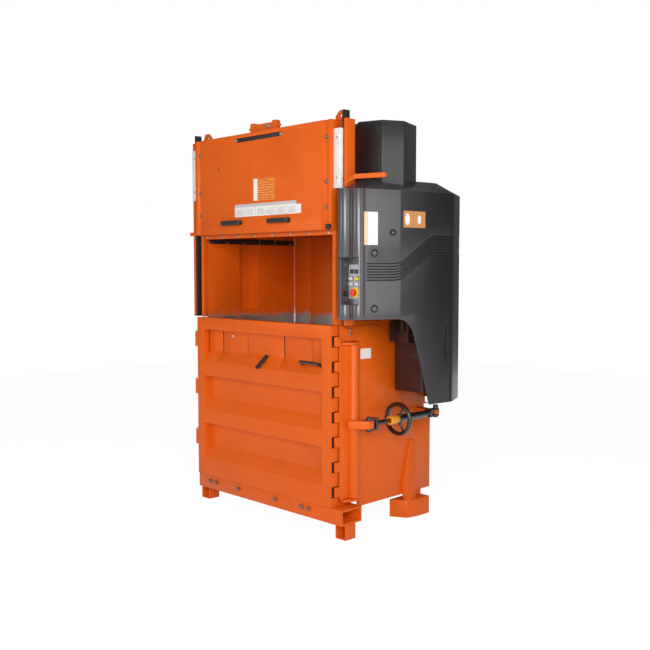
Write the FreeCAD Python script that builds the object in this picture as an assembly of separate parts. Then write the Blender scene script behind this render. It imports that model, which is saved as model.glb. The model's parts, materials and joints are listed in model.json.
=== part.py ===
import FreeCAD, Part
import math
import os
from FreeCAD import Vector

# Low-built vertical baler for waste board and film: a welded chamber with a feed gate above a
# swing door, a press platen driven by two crossed rams, and a spindle lock that closes the door.
# Millimetres, +Z up. The model is built with X = 0 at the middle of the door, Y = 0 on the door's
# front face and Z = 0 on the floor, and is moved at the end to stand on the middle of its own plan.

# Names that end in OUT are distances outward from the chamber wall's inner face, and those in RISE,
# DROP, INSET, TAIL or SHARE are counted from the height or depth that the part below belongs to.

# ---- running clearances
RUNNING_GAP = 3.0
SEAT = 0.3
LINK_CLEARANCE = 1.0

# ---- chamber, floor and base
DOOR_LAP = 24.0
DOOR_HEIGHT = 1063.0
DOOR_DEPTH = 64.0
DOOR_FLOOR_GAP = 4.0
FEED_HEIGHT = 549.0
GATE_HEIGHT = 623.0
CHAMBER_WIDTH = 1220.0
CHAMBER_DEPTH = 800.0
WALL = 10.0
FLOOR_THICKNESS = 14.0
LINER_THICKNESS = 8.0
STRAP_GAP = 18.0
STRAP_XS = (-428.0, -164.0, 176.0, 428.0)
BEAM_LEFT_OUT = 35.0
BEAM_RIGHT_OUT = 100.0
BEAM_DEPTH = 171.0
BEAM_HEIGHT = 92.0
BEAM_WALL = 12.0
BEAM_FRONT = 14.0
BORE_CORNER = 4.0
FOOT_HEIGHT = 90.0
FOOT_SIZE = 84.0
FOOT_WALL = 8.0
FOOT_SETBACK = 32.0
FOOT_LEFT_SPREAD = 40.0
HOOK_XS = (-517.0, -452.0, -220.0, 142.0, 378.0, 439.0)
HOOK_WIDTH = 24.0
HOOK_HEIGHT = 26.0
HOOK_REACH = 20.0
HOOK_PLATE = 5.0
HOOK_DROP = 52.0
REAR_FOOT_HEIGHT = 112.0
REAR_FOOT_START = 276.0
REAR_FOOT_LENGTH = 251.0
REAR_FOOT_INSET = 52.0
REAR_FOOT_SPREAD = 48.0
REAR_FOOT_SKEW = 53.0
REAR_FOOT_TAPER = 22.0
REAR_FOOT_SHOULDER = 137.0
REAR_POST_INSET = 25.0
REAR_POST_WIDTH = 60.0
REAR_POST_DEPTH = 88.0
GUSSET_WAIST = 88.0
GUSSET_HEIGHT = 377.0
GUSSET_TIP = 8.0
GUSSET_WIDTH = 20.0
RIB_BAR_HEIGHT = 100.0
RIB_BAR_DEPTH = 40.0
RIB_BAR_SHARES = (0.0214, 0.2314, 0.4457, 0.62, 0.794)
REAR_DROP = 361.0
WALL_MARGIN = 20.0

# ---- side casing and wall pockets
SIDE_PANEL_THICKNESS = 14.0
SIDE_PANEL_RISE = 17.0
SIDE_PANEL_DROP = 32.0
SIDE_PANEL_INSET = 223.0
SIDE_PANEL_RADIUS = 300.0
PANEL_SETBACK = 235.0
PANEL_STEP_DROP = 94.0
PANEL_TAIL = 48.0
PANEL_FLARE_INSET = 138.0
PANEL_FLARE_Z = 648.0
PANEL_FLARE_RISE = 114.0
PANEL_RIM = 25.0
PANEL_RIM_STEP = 7.0
POCKET_WIDTH = 171.0
POCKET_FOOT_RISE = 41.0
POCKET_HEAD_RISE = 162.0
POCKET_DEPTH = 60.0
POCKET_SHEET = 6.0
WALL_STRIP_DROP = 53.0
WALL_STRIP_HEIGHT = 36.0
WALL_STRIP_THICKNESS = 5.0
WALL_STRIP_LENGTH = 240.0
SIDE_BOLT_DROPS = (60.0, 31.0, 0.0)

# ---- posts, lintel, crown
POST_REACH = 110.0
POST_DEPTH = 70.0
POST_FRONT = 40.0
POST_WALL = 5.0
POST_INNER_FLANGE = 24.0
POST_OUTER_FLANGE = 20.0
CHANNEL_DEPTH = 48.0
LUG_HEIGHT = 61.0
LUG_ROOT = 40.0
LUG_WIDTH = 84.0
LUG_BEVEL = 32.0
LUG_HOLE_R = 10.0
LUG_SHIFT = 11.0
LINTEL_DROP = 26.0
LINTEL_HEIGHT = 120.0
LINTEL_SETBACK = 6.0
CROWN_HEIGHT = 140.0
BRACKET_WIDTH = 246.0
BRACKET_EAR = 103.0
BRACKET_EAR_WIDTH = 40.0
BRACKET_HEIGHT = 64.0
BRACKET_BOLT_R = 8.0
STOP_SIZE = 24.0
HOOD_BAR_THICKNESS = 6.0
HOOD_BAR_HEIGHT = 26.0
HOOD_BAR_END_RISE = 1.6
HOOD_BAR_DROP = 371.0
HOOD_BAR_FLAT = 66.0
HOOD_BAR_REACH = 100.0
HOOD_BAR_DEPTH = 150.0
STRIP_WIDTH = 16.0
STRIP_SETBACK = 2.0
STRIP_RISE = 50.0
CHEEK_DROP = 33.0
CHEEK_CORNER = 12.0

# ---- feed gate
GATE_EDGE_GAP = 2.0
GATE_SHEET = 4.0
GATE_RETURN = 62.0
GATE_FLANGE = 32.0
GATE_TRAVEL = 540.0
GATE_GROOVE_WIDTH = 42.0
GATE_GROOVE_INSET = 28.0
GATE_GROOVE_DEPTH = 12.0
GATE_CREASE_HEIGHT = 90.0
GATE_CREASE_STEP = 6.0
STRIP_SLOT = 432.0
STRIP_SLOT_HEIGHT = 26.0
STRIP_DROP = 24.0
GRIP_LEFT_X = -240.0
GRIP_RIGHT_X = 208.0
GRIP_WIDTH = 190.0
GRIP_HEIGHT = 28.0
GRIP_RISE = 55.0
GRIP_DEPTH = 34.0
GRIP_BAR = 12.0
SHOE_GAP = 3.0
SHOE_FRONT = 18.0
SHOE_RISE = 235.0
SHOE_HEIGHT = 334.0
SHOE_SCREW_INSET = 26.0
SHOE_SCREW_RISE = 40.0
SHOE_SCREW_R = 8.0
SHOE_TONGUE_INSET = 5.0
GATE_BOLT_R = 14.0
GATE_BOLT_DROP = 105.0

# ---- swing door
STILE = 73.0
TOP_RAIL = 78.0
RAIL = 94.0
SKIN = 6.0
RECESS_DEPTH = 52.0
RECESS_SHARES = (0.2041, 0.2145, 0.2173)
RECESS_SLOPE = 0.34
FUNNEL_XS = (-428.0, 176.0)
FUNNEL_HALF = 112.0
FUNNEL_DEPTH = 10.0
FUNNEL_SHARE = 0.15
FUNNEL_SLOT = 10.0
PLAIN_SLOT = 6.0
NOTCH_COUNT = 7
NOTCH_HEIGHT = 67.0
BOTTOM_NOTCH_RISE = 55.0
TOP_NOTCH_DROP = 59.0
NOTCH_DEPTH = 12.0
HINGE_OFFSET = 26.0
HINGE_Y = 20.0
HINGE_R = 16.0
HINGE_PIN_R = 8.0
HINGE_KNUCKLE = 44.0
HINGE_GAP = 1.5
HINGE_OUTER = 1.1
HINGE_LEAF = 12.0
HINGE_SHARES = (0.23, 0.555, 0.86)
DOOR_SWING = 110.0
HANDLE_INSET = 94.0
HANDLE_LENGTH = 188.0
HANDLE_DROP = 249.0
HANDLE_R = 10.0
HANDLE_LIFT = 22.0
LATCH_X = 36.0
LATCH_SHARE = 0.8
LATCH_BOSS_R = 15.0
LATCH_BOSS_HEIGHT = 8.0
LATCH_LENGTH = 92.0
LATCH_THICKNESS = 14.0
LATCH_TAPER = 0.7
LATCH_SLANT = 24.0
LATCH_SWING = 45.0

# ---- claw lock
CLAW_DEPTH = 34.0
CLAW_BITE = 8.0
CLAW_PLATE = 12.0
CLAW_SIDE_GAP = 4.0
CLAW_HEIGHT_GAP = 5.0
COLUMN_R = 34.0
COLUMN_GAP = 4.0
COLUMN_WALL = 9.0
COLUMN_Y = 165.0
COLUMN_RISE = 40.0
COLUMN_DROP = 117.0
COLUMN_PLATE = 16.0
PLUG_HEIGHT = 30.0
PIVOT_PIN_R = 15.0
CLAW_SWING = 25.0
LEVER_REACH = 101.0
LEVER_THICKNESS = 46.0
LEVER_SETBACK = 29.0
LEVER_END = 24.0
SPINDLE_Z = 670.0
LOCK_PIN_R = 11.0
HEAD_TO_PIN = 1.6
LOCK_SLACK = 4.5
SPINDLE_LENGTH = 628.0
SPINDLE_R = 14.0
ROD_REACH = 260.0
LOCK_TURNS = 3.5
FORK_R = 22.0
FORK_GAP = 2.0
FORK_LUG = 10.0
FORK_FRONT_BACK = 60.0
FORK_REAR_BACK = 82.0
FORK_BLOCK = 24.0
PIN_HEAD_HEIGHT = 10.0
REAR_PIN_HEAD = 22.0
WHEEL_R = 103.0
WHEEL_RIM_R = 13.0
WHEEL_DISTANCE = 262.0
HUB_R = 30.0
HUB_HALF = 10.0
SPOKE_R = 8.0
SPOKE_START = 30.0
TUBE_R = 26.0
TUBE_TAPER = 0.78
JOURNAL_R = 15.0
SLEEVE_R = 27.0
SLEEVE_LENGTH = 74.0
ANCHOR_THICKNESS = 24.0
ANCHOR_R = 22.0

# ---- press platen and crossed rams
PLATEN_TRAVEL = 600.0
PLATEN_GAP = 9.0
PLATEN_HEIGHT = 150.0
PLATEN_PLATE = 16.0
STRAP_GROOVE_SHARE = 0.6
PLATEN_RIB = 14.0
PLATEN_LIFT = 8.0
LUG_HALF = 56.0
LUG_PLATE = 16.0
LUG_FOOT = 60.0
RAM_EYE_INSET = 105.0
RAM_EYE_RISE = 224.0
RAM_PIVOT_OUT = 124.0
RAM_PIVOT_DROP = 61.0
RIGHT_RAM_Y = 440.0
LEFT_RAM_Y = 582.0
BARREL_R = 62.0
BORE_R = 50.0
BARREL_LENGTH = 760.0
NECK_LENGTH = 8.0
END_CAP = 20.0
GLAND_R = 66.0
GLAND_LENGTH = 70.0
PORT_R = 12.0
PORT_HEIGHT = 12.0
PORT_INSET = 40.0
PISTON_REST = 323.0
PISTON_LENGTH = 40.0
ROD_R = 30.0
EYE_R = 42.0
EYE_WIDTH = 56.0
EYE_PIN_R = 20.0
EYE_SIDE_GAP = 12.0
TRUNNION_PIN_R = 22.0
TRUNNION_EYE_R = 52.0
TRUNNION_CORNER_SHARE = 0.8
TRUNNION_PLATE_DROP = 110.0
RAM_CLEARANCE = 6.0
SLOT_CORNER = 20.0
SLOT_MARGIN = 30.0

# ---- ram covers
COVER_WALL = 4.0
COVER_FRONT_Y = 200.0
COVER_DROP = 431.0
COVER_HEIGHT = 436.0
COVER_FRONT_WIDTH = 180.0
COVER_FRONT_SLANT = 52.0
COVER_REACH = 242.0
COVER_FACET_DEPTH = 170.0
COVER_DEPTH = 360.0
COVER_TAIL = 80.0
COVER_BEVEL = 34.0

# ---- hood, controls and power unit
HOOD_WALL = 5.0
HOOD_REACH = 200.0
HOOD_LEFT_OUT = 113.0
HOOD_FRONT_Y = -33.0
HOOD_CORNER_OUT = 242.0
HOOD_CORNER_Y = 51.0
HOOD_SIDE_OUT = 322.0
HOOD_SIDE_Y = 263.0
HOOD_REACH_OUT = 373.0
HOOD_REACH_INSET = 186.0
HOOD_HEEL_OUT = 290.0
HOOD_HEEL_INSET = 12.0
HOOD_TAIL = 47.0
HOOD_CORNER_R = 60.0
HOOD_FRONT_RISE = 42.0
HOOD_TAIL_DROP = 474.0
HOOD_CURVE_INSET = 538.0
HOOD_CURVE_R = 140.0
HOOD_TAIL_INSET = 378.0
HOOD_RIM_RISE = 222.0
HOOD_ROOF_RISE = 76.0
HOOD_ROOF_LEAN = 120.0
HOOD_ROOF_RUN = 150.0
RIB_R = 40.0
RIB_SINK = 15.0
PAIR_SHARES = (0.25, 0.75)
GROOVE_COUNT = 7
GROOVE_PITCH = 15.5
GROOVE_WIDTH = 7.0
GROOVE_DEPTH = 2.5
WAVE_START_Y = 60.0
WAVE_LOW_Y = 262.0
WAVE_HIGH_Y = 510.0
WAVE_R = 150.0
WAVE_FOOT_RISE = 259.0
WAVE_CLIMB = 163.0
SEAM_Y = 630.0
SEAM_WIDTH = 12.0
SEAM_DROPS = (205.0, 2.0)
TRAY_RIGHT_OUT = 230.0
TRAY_BACK = 52.0
TRAY_FOOT_RISE = 124.0
TRAY_HEAD_RISE = 393.0
TRAY_SHEET = 3.0
KEYPAD_OUTS = (126.0, 210.0)
KEYPAD_RISES = (158.0, 351.0)
KEYPAD_THICKNESS = 5.0
DISPLAY_OUTS = (132.0, 198.0)
DISPLAY_RISES = (298.0, 326.0)
BUTTON_OUTS = (143.0, 189.0)
BUTTON_RISES = (241.0, 272.0)
BUTTON_WIDTH = 30.0
BUTTON_HEIGHT = 20.0
BUTTON_RISE = 7.0
BUTTON_TRAVEL = 3.0
STOP_OUT = 174.0
STOP_RISE = 194.0
STOP_RING_R = 29.0
STOP_RING_HEIGHT = 5.0
STOP_HEAD_R = 20.0
STOP_HEAD_HEIGHT = 32.0
STOP_TRAVEL = 6.0
KNOB_Y = 11.0
KNOB_RISE = 188.0
KNOB_R = 14.0
KNOB_HEIGHT = 20.0
CAP_Y = 107.0
CAP_RISES = (103.0, 415.0)
CAP_R = 24.0
CAP_TAPER = 0.8
CAP_HEIGHT = 4.0
KEYLOCK_Y = 217.0
KEYLOCK_RISE = 531.0
KEYLOCK_R = 19.0
KEYLOCK_HEIGHT = 8.0
KEYLOCK_STEP_SHARE = 0.6
TANK_OUTS = (40.0, 270.0)
TANK_INSETS = (338.0, 48.0)
TANK_DROPS = (419.0, 119.0)
TANK_SHEET = 4.0
TANK_CORNER = 24.0
TANK_RAIL = 40.0
MOTOR_R = 84.0
MOTOR_CREST_TAPER = 0.8
MOTOR_HEIGHT = 250.0
MOTOR_FLANGE = 16.0
MOTOR_FLANGE_R = 98.0
MOTOR_FINS = 20
MOTOR_FIN_DEPTH = 9.0
MOTOR_FIN_WIDTH = 7.0
MOTOR_COWL = 46.0
VALVE_SIZE = 90.0
VALVE_HEIGHT = 70.0
SOLENOID_R = 20.0
SOLENOID_LENGTH = 62.0


def box(x0, x1, y0, y1, z0, z1):
    """A block between two corners."""
    return Part.makeBox(x1 - x0, y1 - y0, z1 - z0, Vector(x0, y0, z0))


def cylinder(start, axis, radius, length):
    return Part.makeCylinder(radius, length, start, axis)


def tube(start, axis, radius, bore, length):
    return cylinder(start, axis, radius, length).cut(cylinder(start, axis, bore, length))


def join(shapes):
    """One solid from shapes that touch or overlap."""
    shapes = list(shapes)
    return shapes[0].multiFuse(shapes[1:]).removeSplitter()


def group(shapes):
    """Separate solids kept together as one set."""
    return Part.makeCompound(list(shapes))


def mirror_x(shape):
    return shape.mirror(Vector(0, 0, 0), Vector(1, 0, 0))


def outline(points, place):
    """A closed flat face; a corner given as (u, v, radius) is rounded."""
    corners = [Vector(point[0], point[1], 0) for point in points]
    radii = [point[2] if len(point) > 2 else 0.0 for point in points]
    starts, ends, middles = [], [], []
    for i, corner in enumerate(corners):
        to_last = (corners[i - 1] - corner).normalize()
        to_next = (corners[(i + 1) % len(corners)] - corner).normalize()
        half = to_last.getAngle(to_next) / 2
        setback = radii[i] / math.tan(half)
        starts.append(corner + to_last * setback)
        ends.append(corner + to_next * setback)
        bisector = (to_last + to_next).normalize() if radii[i] else Vector(0, 0, 0)
        middles.append(corner + bisector * (radii[i] / math.sin(half) - radii[i]))
    edges = []
    for i in range(len(corners)):
        if radii[i]:
            edges.append(Part.Arc(place(starts[i]), place(middles[i]), place(ends[i])).toShape())
        following = starts[(i + 1) % len(corners)]
        if (following - ends[i]).Length > 1e-6:
            edges.append(Part.LineSegment(place(ends[i]), place(following)).toShape())
    return Part.Face(Part.Wire(edges))


def plan(points, z0, z1):
    """A shape with a constant plan: points are (x, y)."""
    return outline(points, lambda p: Vector(p.x, p.y, z0)).extrude(Vector(0, 0, z1 - z0))


def side(points, x0, x1):
    """A shape with a constant side view: points are (y, z)."""
    return outline(points, lambda p: Vector(x0, p.x, p.y)).extrude(Vector(x1 - x0, 0, 0))


def front(points, y0, y1):
    """A shape with a constant front view: points are (x, z)."""
    return outline(points, lambda p: Vector(p.x, y0, p.y)).extrude(Vector(0, y1 - y0, 0))


def bolt(centre, axis, radius, height):
    """A hexagon head with a domed face, standing on centre and pointing along axis."""
    across = axis.cross(Vector(0, 0, 1)) if abs(axis.z) < 0.9 else Vector(1, 0, 0)
    corners = []
    for i in range(7):
        turn = FreeCAD.Rotation(axis, 60.0 * i)
        corners.append(centre + turn.multVec(across * radius))
    head = Part.Face(Part.makePolygon(corners)).extrude(axis * height)
    dome = Part.makeCone(radius * 1.25, radius * 0.7, height, centre, axis)
    return head.common(dome)

def both_sides(shape):
    return group([shape, mirror_x(shape)])


def half_turn(shape):
    """The same piece on the other side: turned half round about the middle between the rams."""
    turned = shape.copy()
    turned.rotate(Vector(0, (RIGHT_RAM_Y + LEFT_RAM_Y) / 2, 0), Vector(0, 0, 1), 180)
    return turned


# ---- places worked out from the sizes above
beam_top = FOOT_HEIGHT + BEAM_HEIGHT
floor_top = beam_top + FLOOR_THICKNESS
door_bottom = beam_top + DOOR_FLOOR_GAP
door_top = door_bottom + DOOR_HEIGHT
feed_top = door_top + FEED_HEIGHT
gate_top = feed_top + GATE_HEIGHT
chamber_half = CHAMBER_WIDTH / 2
chamber_front = DOOR_DEPTH + LINER_THICKNESS + 2 * RUNNING_GAP
chamber_back = chamber_front + CHAMBER_DEPTH
wall_outer = chamber_half + WALL
side_face = wall_outer + SIDE_PANEL_THICKNESS
beam_back = BEAM_FRONT + BEAM_DEPTH
beam_left = chamber_half + BEAM_LEFT_OUT
beam_right = chamber_half + BEAM_RIGHT_OUT
rear_post_back = chamber_back - REAR_POST_INSET
rear_post_front = rear_post_back - REAR_POST_DEPTH
panel_spans = list(zip([-chamber_half] + [x + STRAP_GAP / 2 for x in STRAP_XS],
                       [x - STRAP_GAP / 2 for x in STRAP_XS] + [chamber_half]))
rear_top = gate_top - REAR_DROP
rib_bar_zs = [beam_top + share * (gate_top - beam_top) for share in RIB_BAR_SHARES]

# casing sheet, wall pockets and posts
side_panel_top = door_top + SIDE_PANEL_RISE
side_panel_bottom = beam_top - SIDE_PANEL_DROP
side_panel_edge = chamber_back - SIDE_PANEL_INSET
panel_step_z = door_top - PANEL_STEP_DROP
panel_back = chamber_back + PANEL_TAIL
panel_flare_y = chamber_back - PANEL_FLARE_INSET
side_bolt_zs = [door_top - drop for drop in SIDE_BOLT_DROPS]
pocket_bottom = door_top + POCKET_FOOT_RISE
pocket_top = feed_top + POCKET_HEAD_RISE
wall_strip_z = feed_top - WALL_STRIP_DROP
post_outer = chamber_half + POST_REACH
post_back = POST_FRONT + POST_DEPTH
channel_inner = chamber_half + POST_INNER_FLANGE
channel_outer = post_outer - POST_OUTER_FLANGE
channel_back = POST_FRONT + CHANNEL_DEPTH

# gate and door
gate_half = channel_inner + GATE_EDGE_GAP + GATE_SHEET
shoe_low = feed_top + SHOE_RISE
door_half = chamber_half + DOOR_LAP
handle_x = door_half - HANDLE_INSET - HANDLE_LENGTH
handle_z = door_top - HANDLE_DROP
notch_pitch = (DOOR_HEIGHT - TOP_NOTCH_DROP - NOTCH_HEIGHT - BOTTOM_NOTCH_RISE) / (NOTCH_COUNT - 1)

# hood, controls and power unit
hood_left = chamber_half + HOOD_LEFT_OUT
hood_corner_x = chamber_half + HOOD_CORNER_OUT
hood_side_x = chamber_half + HOOD_SIDE_OUT
hood_reach_x = chamber_half + HOOD_REACH_OUT
hood_reach_y = chamber_back - HOOD_REACH_INSET
hood_heel_x = chamber_half + HOOD_HEEL_OUT
hood_heel_y = chamber_back - HOOD_HEEL_INSET
hood_back_y = chamber_back + HOOD_TAIL
hood_front_bottom = door_top + HOOD_FRONT_RISE
hood_tail_bottom = door_top - HOOD_TAIL_DROP
hood_curve_y = chamber_back - HOOD_CURVE_INSET
hood_tail_y = chamber_back - HOOD_TAIL_INSET
hood_rim_z = feed_top + HOOD_RIM_RISE
tray_right = chamber_half + TRAY_RIGHT_OUT
tray_bottom = door_top + TRAY_FOOT_RISE
tray_top = door_top + TRAY_HEAD_RISE
keypad_x = [chamber_half + out for out in KEYPAD_OUTS]
keypad_z = [door_top + rise for rise in KEYPAD_RISES]
display_x = [chamber_half + out for out in DISPLAY_OUTS]
display_z = [door_top + rise for rise in DISPLAY_RISES]
button_xs = [chamber_half + out for out in BUTTON_OUTS]
button_zs = [door_top + rise for rise in BUTTON_RISES]
stop_x = chamber_half + STOP_OUT
stop_z = door_top + STOP_RISE
knob_z = door_top + KNOB_RISE
cap_zs = [door_top + rise for rise in CAP_RISES]
keylock_z = door_top + KEYLOCK_RISE
tank_x = [chamber_half + out for out in TANK_OUTS]
tank_y = [chamber_back - inset for inset in TANK_INSETS]
tank_z = [door_top - drop for drop in TANK_DROPS]

# the press: where its rams point when the platen is up and when it is down
ram_eye_x = chamber_half - RAM_EYE_INSET
ram_pivot_x = chamber_half + RAM_PIVOT_OUT
ram_pivot_z = gate_top - RAM_PIVOT_DROP
cover_bottom = gate_top - COVER_DROP
right_cover_back = COVER_FRONT_Y + COVER_DEPTH + COVER_TAIL
left_cover_back = LEFT_RAM_Y + RIGHT_RAM_Y - COVER_FRONT_Y
platen_bottom = feed_top + PLATEN_LIFT
ram_eye_z = platen_bottom + RAM_EYE_RISE
ram_run = ram_pivot_x + ram_eye_x
ram_drop = ram_pivot_z - ram_eye_z
ram_rest_angle = math.degrees(math.atan2(ram_drop, ram_run))
ram_down_angle = math.degrees(math.atan2(ram_drop + PLATEN_TRAVEL, ram_run))
ram_rest_length = math.hypot(ram_run, ram_drop)
ram_stroke = math.hypot(ram_run, ram_drop + PLATEN_TRAVEL) - ram_rest_length
ram_slot_half = GLAND_R + RAM_CLEARANCE
trunnion_width = 2 * (ram_slot_half - LINK_CLEARANCE)
ram_slot_bottom = (ram_pivot_z - (ram_pivot_x - chamber_half) * math.tan(math.radians(ram_down_angle))
                   - ram_slot_half / math.cos(math.radians(ram_down_angle)) - SLOT_MARGIN)

# the lock: column, spindle and how far they move
column_bottom = door_bottom + COLUMN_RISE
column_top = door_top - COLUMN_DROP
column_x = wall_outer + COLUMN_R + COLUMN_GAP
claw_inner = door_half + CLAW_SIDE_GAP
notch_tops = [door_top - TOP_NOTCH_DROP - notch_pitch * i for i in range(NOTCH_COUNT)]
lever_pin = Vector(column_x + LEVER_REACH, COLUMN_Y + LEVER_SETBACK, SPINDLE_Z)
anchor_pin = lever_pin + Vector(0, SPINDLE_LENGTH, 0)
claw_turn = math.radians(CLAW_SWING)
lever_pin_open = Vector(column_x + LEVER_REACH * math.cos(claw_turn) - LEVER_SETBACK * math.sin(claw_turn),
                        COLUMN_Y + LEVER_REACH * math.sin(claw_turn) + LEVER_SETBACK * math.cos(claw_turn),
                        SPINDLE_Z)
spindle_open = (anchor_pin - lever_pin_open).Length
spindle_shortening = SPINDLE_LENGTH - spindle_open
link_swing = math.degrees(math.asin((lever_pin.x - lever_pin_open.x) / spindle_open))
wheel_y = lever_pin.y + WHEEL_DISTANCE

hinge_axis = Vector(-door_half - HINGE_OFFSET, HINGE_Y, 0)


# ---- base and chamber

def base_beam_front():
    """Open-ended box tube that carries the front feet and the door sill."""
    outer = box(-beam_left, beam_right, BEAM_FRONT, beam_back, FOOT_HEIGHT, beam_top)
    low, high = FOOT_HEIGHT + BEAM_WALL, beam_top - BEAM_WALL
    near, far = BEAM_FRONT + BEAM_WALL, beam_back - BEAM_WALL
    corners = [(near, low, BORE_CORNER), (far, low, BORE_CORNER), (far, high, BORE_CORNER),
               (near, high, BORE_CORNER)]
    return outer.cut(side(corners, -beam_left, beam_right))


def base_beam_rear():
    """Cross tube between the uprights of the rear legs."""
    half = wall_outer - REAR_POST_WIDTH
    outer = box(-half, half, rear_post_front, rear_post_back, REAR_FOOT_HEIGHT, beam_top)
    bore = box(-half, half, rear_post_front + BEAM_WALL, rear_post_back - BEAM_WALL,
               REAR_FOOT_HEIGHT + BEAM_WALL, beam_top - BEAM_WALL)
    return outer.cut(bore)


def front_foot(outer_x, direction):
    """A box foot, open at the front, under one end of the front beam."""
    x0, x1 = sorted((outer_x, outer_x - direction * FOOT_SIZE))
    y0 = BEAM_FRONT + FOOT_SETBACK
    shell = box(x0, x1, y0, y0 + FOOT_SIZE, 0, FOOT_HEIGHT)
    inside = box(x0 + FOOT_WALL, x1 - FOOT_WALL, y0, y0 + FOOT_SIZE - FOOT_WALL,
                 FOOT_WALL, FOOT_HEIGHT - FOOT_WALL)
    return shell.cut(inside)


def quad(corners, z):
    """Closed four-sided wire at height z."""
    points = [Vector(x, y, z) for x, y in corners]
    return Part.makePolygon(points + points[:1])


def rear_leg():
    """Right rear leg in one weldment: a splayed foot, an upright and a gusset that flares to the foot."""
    foot_front = chamber_back - REAR_FOOT_START
    inner, outer = wall_outer - REAR_FOOT_INSET, wall_outer + REAR_FOOT_SPREAD
    back = foot_front + REAR_FOOT_LENGTH
    foot = plan([(inner, foot_front), (outer, foot_front + REAR_FOOT_SKEW),
                 (outer + REAR_FOOT_TAPER, foot_front + REAR_FOOT_SHOULDER),
                 (outer + REAR_FOOT_TAPER, back),
                 (inner, back)], 0, REAR_FOOT_HEIGHT)
    upright = box(wall_outer - REAR_POST_WIDTH, wall_outer, rear_post_front, rear_post_back,
                  REAR_FOOT_HEIGHT, beam_top)
    y0, y1 = foot_front + REAR_FOOT_SKEW, foot_front + REAR_FOOT_SHOULDER
    low = quad([(side_face, y0), (outer, y0), (outer, y1), (side_face, y1)], REAR_FOOT_HEIGHT)
    waist = quad([(side_face, y0 - REAR_FOOT_TAPER), (side_face + GUSSET_WIDTH, y0 - REAR_FOOT_TAPER),
                  (side_face + GUSSET_WIDTH, rear_post_front), (side_face, rear_post_front)],
                 REAR_FOOT_HEIGHT + GUSSET_WAIST)
    head = quad([(side_face, y1 - REAR_POST_WIDTH / 2),
                 (side_face + GUSSET_TIP, y1 - REAR_POST_WIDTH / 2),
                 (side_face + GUSSET_TIP, rear_post_front), (side_face, rear_post_front)],
                REAR_FOOT_HEIGHT + GUSSET_HEIGHT)
    flare = Part.makeLoft([low, waist], True, True)
    blade = Part.makeLoft([waist, head], True, True)
    return join([foot, upright, flare, blade])


def lock_anchor():
    """Lug above the rear edge of the side panel that holds the lock's rear pin."""
    nose = ANCHOR_R * 0.9
    plate = plan([(wall_outer, anchor_pin.y - ANCHOR_R),
                  (anchor_pin.x + ANCHOR_R, anchor_pin.y - ANCHOR_R, nose),
                  (anchor_pin.x + ANCHOR_R, anchor_pin.y + ANCHOR_R, nose),
                  (wall_outer, anchor_pin.y + 2 * ANCHOR_R)],
                 SPINDLE_Z - ANCHOR_THICKNESS / 2, SPINDLE_Z + ANCHOR_THICKNESS / 2)
    hole = cylinder(Vector(anchor_pin.x, anchor_pin.y, 0), Vector(0, 0, 1), LOCK_PIN_R + LINK_CLEARANCE,
                    gate_top)
    return plate.cut(hole)


def floor_plate():
    """Chamber floor in planks, with the strap channels between them."""
    return group(box(x0, x1, chamber_front, chamber_back, beam_top, floor_top) for x0,
                 x1 in panel_spans)


def strap_hooks():
    """Folded hooks on the sill where the bale straps are caught."""
    z = beam_top - HOOK_DROP
    profile = [(BEAM_FRONT, z), (BEAM_FRONT, z + HOOK_HEIGHT),
               (BEAM_FRONT - HOOK_REACH, z + HOOK_HEIGHT),
               (BEAM_FRONT - HOOK_REACH, z + HOOK_HEIGHT / 3),
               (BEAM_FRONT - HOOK_REACH + HOOK_PLATE, z + HOOK_HEIGHT / 3),
               (BEAM_FRONT - HOOK_REACH + HOOK_PLATE, z + HOOK_HEIGHT - HOOK_PLATE),
               (BEAM_FRONT - HOOK_PLATE, z + HOOK_HEIGHT - HOOK_PLATE), (BEAM_FRONT - HOOK_PLATE, z)]
    return group(side(profile, x - HOOK_WIDTH / 2, x + HOOK_WIDTH / 2) for x in HOOK_XS)


def side_wall(ram_y, pocket_y, cover_back):
    """Right-hand chamber wall; the ram passes over its stepped top edge."""
    plate = side([(chamber_front, beam_top), (chamber_back, beam_top), (chamber_back, rear_top),
                  (cover_back + WALL_MARGIN, rear_top), (cover_back + WALL_MARGIN, gate_top),
                  (ram_y + ram_slot_half, gate_top),
                  (ram_y + ram_slot_half, ram_slot_bottom, SLOT_CORNER),
                  (ram_y - ram_slot_half, ram_slot_bottom, SLOT_CORNER),
                  (ram_y - ram_slot_half, gate_top),
                  (chamber_front, gate_top)], chamber_half, wall_outer)
    half = POCKET_WIDTH / 2
    slot = box(chamber_half, wall_outer, pocket_y - half, pocket_y + half, pocket_bottom, pocket_top)
    return plate.cut(slot)


def ram_pocket(pocket_y):
    """Welded channel behind the slot in a side wall, where a ram eye passes."""
    half = POCKET_WIDTH / 2 + POCKET_SHEET
    outer = box(wall_outer, wall_outer + POCKET_DEPTH, pocket_y - half, pocket_y + half,
                pocket_bottom - POCKET_SHEET, pocket_top + POCKET_SHEET)
    inner = box(wall_outer, wall_outer + POCKET_DEPTH - POCKET_SHEET, pocket_y - half + POCKET_SHEET,
                pocket_y + half - POCKET_SHEET, pocket_bottom, pocket_top)
    return outer.cut(inner)


def back_wall():
    """Back of the chamber in planks, with the strap channels between them."""
    return group(box(x0, x1, chamber_back, chamber_back + LINER_THICKNESS, beam_top, rear_top)
                 for x0, x1 in panel_spans)


def back_ribs():
    """Channel bars across the back that tie the planks together."""
    y = chamber_back + LINER_THICKNESS
    bars = []
    for z in rib_bar_zs:
        outer = box(-wall_outer, wall_outer, y, y + RIB_BAR_DEPTH, z, z + RIB_BAR_HEIGHT)
        inner = box(-wall_outer, wall_outer, y + POST_WALL, y + RIB_BAR_DEPTH, z + POST_WALL,
                    z + RIB_BAR_HEIGHT - POST_WALL)
        bars.append(outer.cut(inner))
    return group(bars)


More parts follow.
